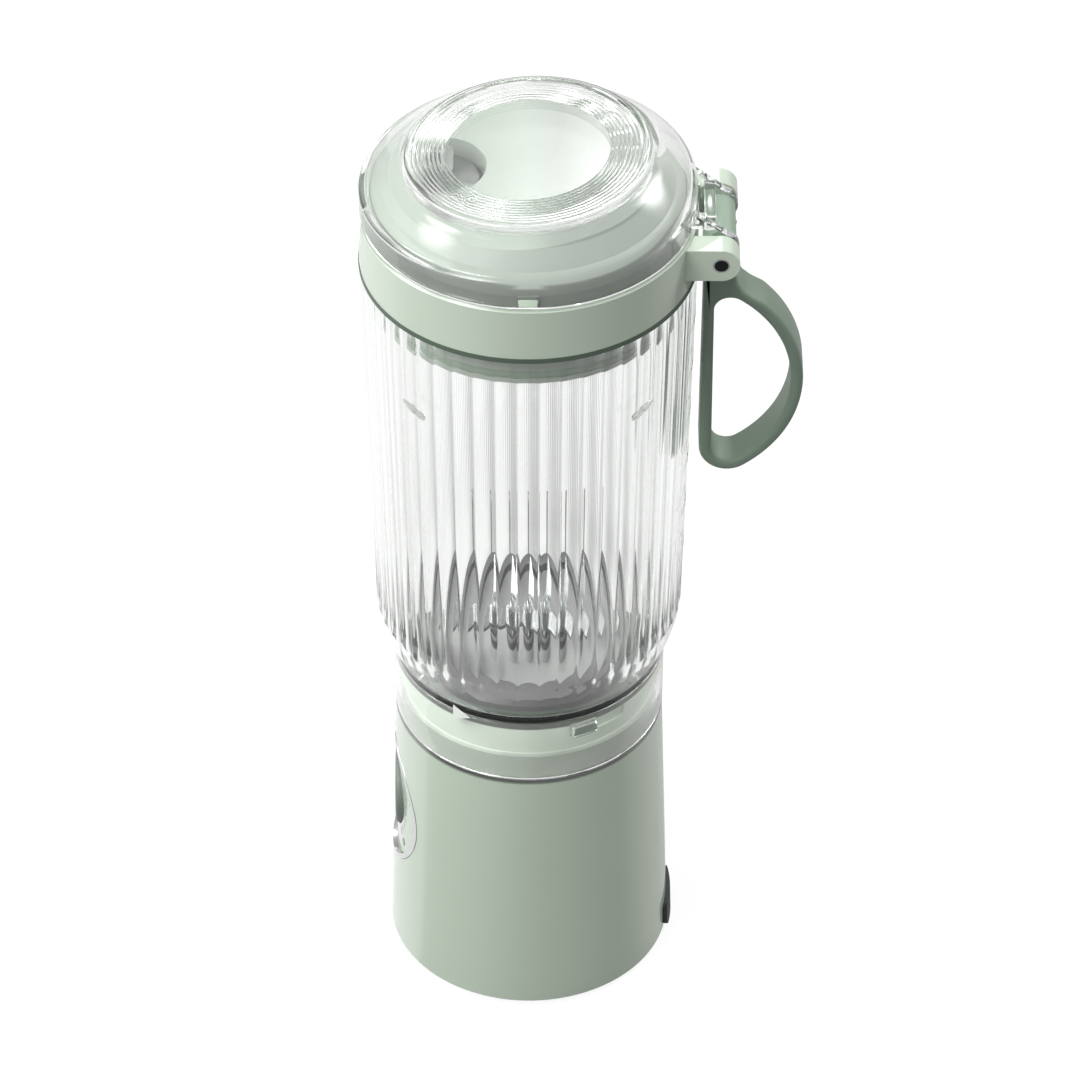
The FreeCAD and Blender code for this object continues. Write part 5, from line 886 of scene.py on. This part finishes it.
@dataclass
class Control:
    """Front knob with its pointer, and the printed ticks and numbers round it.

    The marks run from the pointer's place at rest, against the clock, over the knob's range.
    """

    centre_z: float = 47.7
    radius: float = 10.8
    face_x: float = -36.708
    depth: float = 5.2
    foot_radius: float = 38.4
    taper: float = 0.0273
    plate_recess: float = 0.97
    mark_start: float = 135.0
    knob_range: float = 270.0
    numbers: int = 5
    ticks_between: int = 6
    tick_radius: float = 12.3
    number_radius: float = 16.4

    def knob(self) -> BMesh:
        """Turned knob with a rounded rim, lying along X."""
        mesh = bmesh.new()
        outline = [(0.0, 0.0), (2.0, 0.0), (4.0, 0.0), (6.0, 0.0), (8.0, 0.0), (9.3, 0.0)]
        outline += arc((self.radius - 0.9, -0.9), 0.9, 84, 6, 5)
        outline += [(self.radius, -2.2), (self.radius, -self.depth), (4.0, -self.depth),
                    (0.0, -self.depth)]
        spin_profile(mesh, outline, 96, False)
        bmesh.ops.rotate(mesh, cent=(0, 0, 0), matrix=Matrix.Rotation(math.radians(-90), 3, "Y"),
                         verts=mesh.verts)
        bmesh.ops.translate(mesh, vec=(self.face_x * MM, 0, self.centre_z * MM), verts=mesh.verts)
        return mesh

    def on_plate(self, right: float = 0.0, high: float = 0.0) -> Mapping:
        """Mapping of (across, up) onto the curved plate, from a place beside the knob's centre."""
        def place(across: float, up: float) -> Vector:
            z = self.centre_z + (up + high)
            radius = self.foot_radius - self.taper * (z - 0.6) - self.plate_recess
            x = -math.sqrt(radius ** 2 - (across + right) ** 2)
            return Vector((x, -(across + right), z)) * MM
        return place

    def build(self, maker: Maker) -> None:
        """Makes the knob, its pointer and the marks."""
        maker.piece("knob_body", self.knob(), KNOB_GREY, Place.KNOB, ["control_knob"])
        pointer = block((self.face_x - 0.12, -0.6, self.centre_z + 3.2),
                        (self.face_x + 0.4, 0.6, self.centre_z + 9.2), 0.1)
        bmesh.ops.rotate(pointer, cent=(0, 0, self.centre_z * MM), verts=pointer.verts,
                         matrix=Matrix.Rotation(math.radians(self.mark_start), 3, "X"))
        maker.piece("knob_pointer", pointer, PRINT_PALE, Place.KNOB)
        marks = bmesh.new()
        last = (self.numbers - 1) * self.ticks_between
        for i in range(last + 1):
            numbered = i % self.ticks_between == 0
            tick = block((-0.13, self.tick_radius, -0.02),
                         (0.13, self.tick_radius + (1.9 if numbered else 1.1), 0.02), 0.01)
            turn = self.mark_start - self.knob_range * i / last
            merge(marks, laid(turn_z(tick, -turn), self.on_plate()))
            if numbered:
                angle = math.radians(turn)
                place = self.on_plate(self.number_radius * math.sin(angle),
                                      self.number_radius * math.cos(angle))
                merge(marks, lettered(str(i // self.ticks_between), 2.6, 0.06, place))
        maker.piece("control_marks", marks, KNOB_GREY, Place.BASE)


@dataclass
class JarMarks:
    """Ribs, bayonet lugs, leaf-shaped marks and measuring scale of the jar."""

    rib_angles: tuple[float, ...] = (-150.0, -30.0, 90.0)
    rib_box: tuple[Triple, Triple] = ((31.6, -1.5, 104.05), (36.0, 1.5, 125.0))
    lug_angles: tuple[float, ...] = (-64.5, 55.5, 175.5)
    lug_box: tuple[Triple, Triple] = ((32.5, -3.4, 94.5), (34.6, 3.4, 98.2))
    scale_azimuth: float = -12.0
    number_azimuth: float = -4.5
    scale_foot: float = 138.0
    scale_pitch: float = 7.8
    scale_steps: int = 11
    long_tick: float = 5.2
    short_tick: float = 2.8
    leaf_turn: float = 43.0
    leaf_z: float = 206.8
    leaf_tilt: float = 17.0
    leaf_half: Triple = (4.2, 1.5, 0.4)
    leaf_taper: float = 0.4
    jar: Jar = field(default_factory=Jar)

    def wall_radius(self, z: float) -> float:
        """Radius just outside the jar's ridges at a height."""
        return self.jar.ridge_radius(z) + 0.03

    def build(self, maker: Maker) -> None:
        """Makes the ribs, lugs and marks."""
        for i, angle in enumerate(self.rib_angles):
            rib = turn_z(block(*self.rib_box, 0.5), angle)
            maker.piece(f"jar_rib_{i + 1}", rib, CLEAR_LUG, Place.JAR)
        for i, angle in enumerate(self.lug_angles):
            lug = turn_z(block(*self.lug_box, 0.4), angle)
            maker.piece(f"jar_lug_{i + 1}", lug, CLEAR_LUG, Place.JAR)
        for side, name in ((-1, "jar_leaf_left"), (1, "jar_leaf_right")):
            maker.piece(name, self.leaf(side), CLEAR_RIB, Place.JAR)
        marks = bmesh.new()
        for step in range(self.scale_steps):
            z = self.scale_foot + step * self.scale_pitch
            numbered = step % 2 == 0
            half = (self.long_tick if numbered else self.short_tick) / 2
            tick = block((-half, -0.14, -0.02), (half, 0.14, 0.02), 0.01)
            merge(marks, laid(tick, on_round(self.wall_radius, self.scale_azimuth, z)))
            if numbered:
                place = on_round(self.wall_radius, self.number_azimuth, z)
                merge(marks, lettered(str(100 + 50 * step), 3.0, 0.05, place))
        maker.piece("jar_scale", marks, PRINT_GREY, Place.JAR)

    def leaf(self, side: int) -> BMesh:
        """Small raised leaf shape high on the wall; side is -1 or 1."""
        mesh = bmesh.new()
        bmesh.ops.create_uvsphere(mesh, u_segments=32, v_segments=16, radius=1.0)
        place = on_round(self.wall_radius, -90.0 + side * self.leaf_turn, self.leaf_z)
        length, width, height = self.leaf_half
        for vert in mesh.verts:
            x, y, z = vert.co
            breadth = width - self.leaf_taper * side * x
            vert.co = Vector((x * length, y * breadth, z * height)) * MM
        return laid(turn_z(mesh, side * self.leaf_tilt), place)


@dataclass
class SkirtMark:
    """Pale moulded triangle on the jar's skirt that shows which way the jar is turned."""

    azimuth: float = -119.4
    z: float = 101.6
    radius: float = 36.51
    half_length: float = 2.6
    half_width: float = 2.5

    def build(self, maker: Maker) -> None:
        """Makes the triangle."""
        tip, wing = self.half_length, self.half_width
        mesh = prism([(-tip, wing), (-tip, -wing), (tip, 0.0)], 0.0, 0.08, axis="z")
        mesh = laid(mesh, on_round(lambda z: self.radius, self.azimuth, self.z))
        maker.piece("skirt_triangle", mesh, PRINT_PALE, Place.JAR)


# ---- stage ------------------------------------------------------------------------------
@dataclass(frozen=True)
class Lamp:
    """A soft square lamp. Metres and watts."""

    name: str
    place: Triple
    size: float
    watts: float
    peak: float = 4.24

    def build(self) -> None:
        """Makes the lamp, brightest in its middle, looking at the middle of the blender."""
        data = bpy.data.lights.new(self.name, "AREA")
        data.size = self.size
        data.energy = self.watts
        data.use_nodes = True
        tree = data.node_tree
        face = add_node(tree, "NewGeometry").outputs["Parametric"]
        reach = calc(tree, "DISTANCE", face, (0.5, 0.5, 0.0), kind="VectorMath")
        fade = smooth_ramp(tree, reach, (0.0, 0.5), (self.peak, 0.0))
        feed(tree, tree.nodes["Emission"], {"Strength": fade})
        obj = bpy.data.objects.new(self.name, data)
        obj.location = self.place
        aim = Vector((0.0, 0.0, 0.15)) - Vector(self.place)
        obj.rotation_euler = aim.to_track_quat("-Z", "Y").to_euler()
        bpy.context.scene.collection.objects.link(obj)


@dataclass
class Stage:
    """Pale floor, soft lamps, world and camera."""

    camera_at: Triple = (0.003, -1.331, 1.275)
    pitch: float = 40.56
    lens: float = 218.7
    sensor: float = 36.0
    floor_half: float = 30.0
    floor_white: float = 0.9
    horizon_glow: float = 0.45
    zenith_glow: float = 0.7
    lamps: tuple[Lamp, ...] = (
        Lamp("left", (-1.35, -0.1, 1.25), 1.1, 17.0),
        Lamp("front", (-0.9, -0.9, 1.3), 1.2, 17.0),
        Lamp("back", (1.05, 0.75, 1.25), 1.0, 15.0),
        Lamp("glint", (0.062, 1.2, 1.286), 0.47, 2.9))

    def build(self) -> None:
        """Makes the floor, the world, the lamps and the camera."""
        self.floor()
        self.world()
        for lamp in self.lamps:
            lamp.build()
        data = bpy.data.cameras.new("camera")
        data.lens = self.lens
        data.sensor_width = self.sensor
        camera = bpy.data.objects.new("camera", data)
        camera.location = self.camera_at
        camera.rotation_euler = (math.radians(90 - self.pitch), 0.0, 0.0)
        bpy.context.scene.collection.objects.link(camera)
        bpy.context.scene.camera = camera

    def floor(self) -> None:
        """Makes the floor, which shows white and keeps a soft shadow."""
        mesh = bmesh.new()
        bmesh.ops.create_grid(mesh, x_segments=1, y_segments=1, size=self.floor_half)
        obj = new_object("floor", mesh, self.white("floor_white"))

    @staticmethod
    def before_bounce(tree: Tree, path: Outputs, mask: Socket) -> Socket:
        """Keeps a mask only for rays that haven't bounced off a dull surface yet.

        Args:
            tree: The node tree that takes the nodes.
            path: Outputs of the tree's Light Path node.
            mask: The value that is kept or dropped.

        Returns:
            The socket that puts out the result.
        """
        fresh = calc(tree, "LESS_THAN", path["Diffuse Depth"], 0.5)
        return calc(tree, "MULTIPLY", mask, fresh)

    def white(self, name: str) -> bpy.types.Material:
        """Material that is mostly plain white to the camera, a painted reflection and refraction
        glow to glossy and clear surfaces, and diffuse for the rest.

        Args:
            name: The material's name.

        Returns:
            The material.
        """
        material = bpy.data.materials.new(name)
        material.use_nodes = True
        tree = material.node_tree
        tree.nodes.clear()
        path = add_node(tree, "LightPath").outputs
        position = add_node(tree, "NewGeometry").outputs["Position"]
        split = split_of(tree, position)
        # Painted refraction: seen through clear walls, the glow falls from 1 to 0.5 across x -25 to
        # 35 mm and climbs back to 1 between x 50 and 110 mm, which the flutes bend into light and
        # dark steps.
        through = calc(tree, "ADD", smooth_ramp(tree, split["X"], (-0.025, 0.035), (1.0, 0.5)),
                       smooth_ramp(tree, split["X"], (0.05, 0.11), (0.0, 0.5)))
        painted_glow_level = add_node(tree, "Mix", {"Factor": path["Transmission Depth"], "B": through,
                                      "A": self.painted_reflection_glow(tree, position, split)})
        painted_glow_level.clamp_factor = True
        strength = add_node(tree, "Mix", {"Factor": path["Is Camera Ray"],
                                          "A": painted_glow_level.outputs["Result"], "B": 1.0})
        glow = add_node(tree, "Emission", {"Color": WHITE, "Strength": strength.outputs["Result"]})
        seen = calc(tree, "MAXIMUM", path["Is Camera Ray"], path["Is Transmission Ray"])
        seen = calc(tree, "MAXIMUM", seen, path["Is Glossy Ray"])
        direct = self.before_bounce(tree, path, seen)
        tone = add_node(tree, "Mix")
        tone.data_type = "RGBA"
        feed(tree, tone, {"Factor": direct, "A": (0.2, 0.2, 0.2, 1.0), "B": WHITE})
        diffuse = add_node(tree, "BsdfDiffuse", {"Color": tone.outputs["Result"]})
        blend(tree, calc(tree, "MULTIPLY", direct, self.floor_white), diffuse, glow,
              add_node(tree, "OutputMaterial"))
        return material

    @staticmethod
    def painted_reflection_glow(tree: Tree, position: Socket, split: Outputs) -> Socket:
        """Painted reflection: the floor's glow as the walls mirror it, dim front, paler back and a
        pale card painted at left.

        Args:
            tree: The floor's node tree.
            position: The place on the floor.
            split: Its X, Y and Z.

        Returns:
            The socket that puts out the level.
        """
        back = smooth_ramp(tree, split["Y"], (-0.035, -0.012), (0.25, 0.5))
        side = calc(tree, "DOT_PRODUCT", position, (0.155, 0.988, 0.0), kind="VectorMath")
        edge = smooth_ramp(tree, side, (-0.0310, -0.0258), (0.0, 1.0))
        left = smooth_ramp(tree, split["X"], (-0.030, -0.027), (1.0, 0.0))
        return calc(tree, "MAXIMUM", back, calc(tree, "MULTIPLY", edge, left))

    def world(self) -> None:
        """Sets a soft white surround that shows plain white to the camera."""
        world = bpy.data.worlds.new("studio")
        bpy.context.scene.world = world
        world.use_nodes = True
        tree = world.node_tree
        tree.nodes.clear()
        height = split_of(tree, add_node(tree, "TexCoord").outputs["Generated"])["Z"]
        rise = smooth_ramp(tree, height, (0.0, 0.8), (self.horizon_glow, self.zenith_glow))
        soft = add_node(tree, "Background", {"Color": WHITE, "Strength": rise})
        seen = add_node(tree, "Background", {"Color": WHITE})
        path = add_node(tree, "LightPath").outputs
        straight = calc(tree, "ADD", path["Is Camera Ray"], path["Transmission Depth"])
        straight.node.use_clamp = True
        blend(tree, self.before_bounce(tree, path, straight), soft, seen,
              add_node(tree, "OutputWorld"))


def main() -> None:
    """Builds the dressed blender in order."""
    logging.basicConfig(level=logging.INFO, format="%(name)s %(message)s")
    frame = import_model()
    bpy.context.scene.view_settings.view_transform = "Standard"
    Stage().build()
    maker = Maker()
    dress_nodes(frame["nodes"])
    Jar().build(maker)
    JarMarks().build(maker)
    FlipCap().build(maker)
    CarryLoop().build(maker)
    Control().build(maker)
    SkirtMark().build(maker)
    LOG.info("%d pieces made", len(maker.made))


if __name__ == "__main__":
    main()
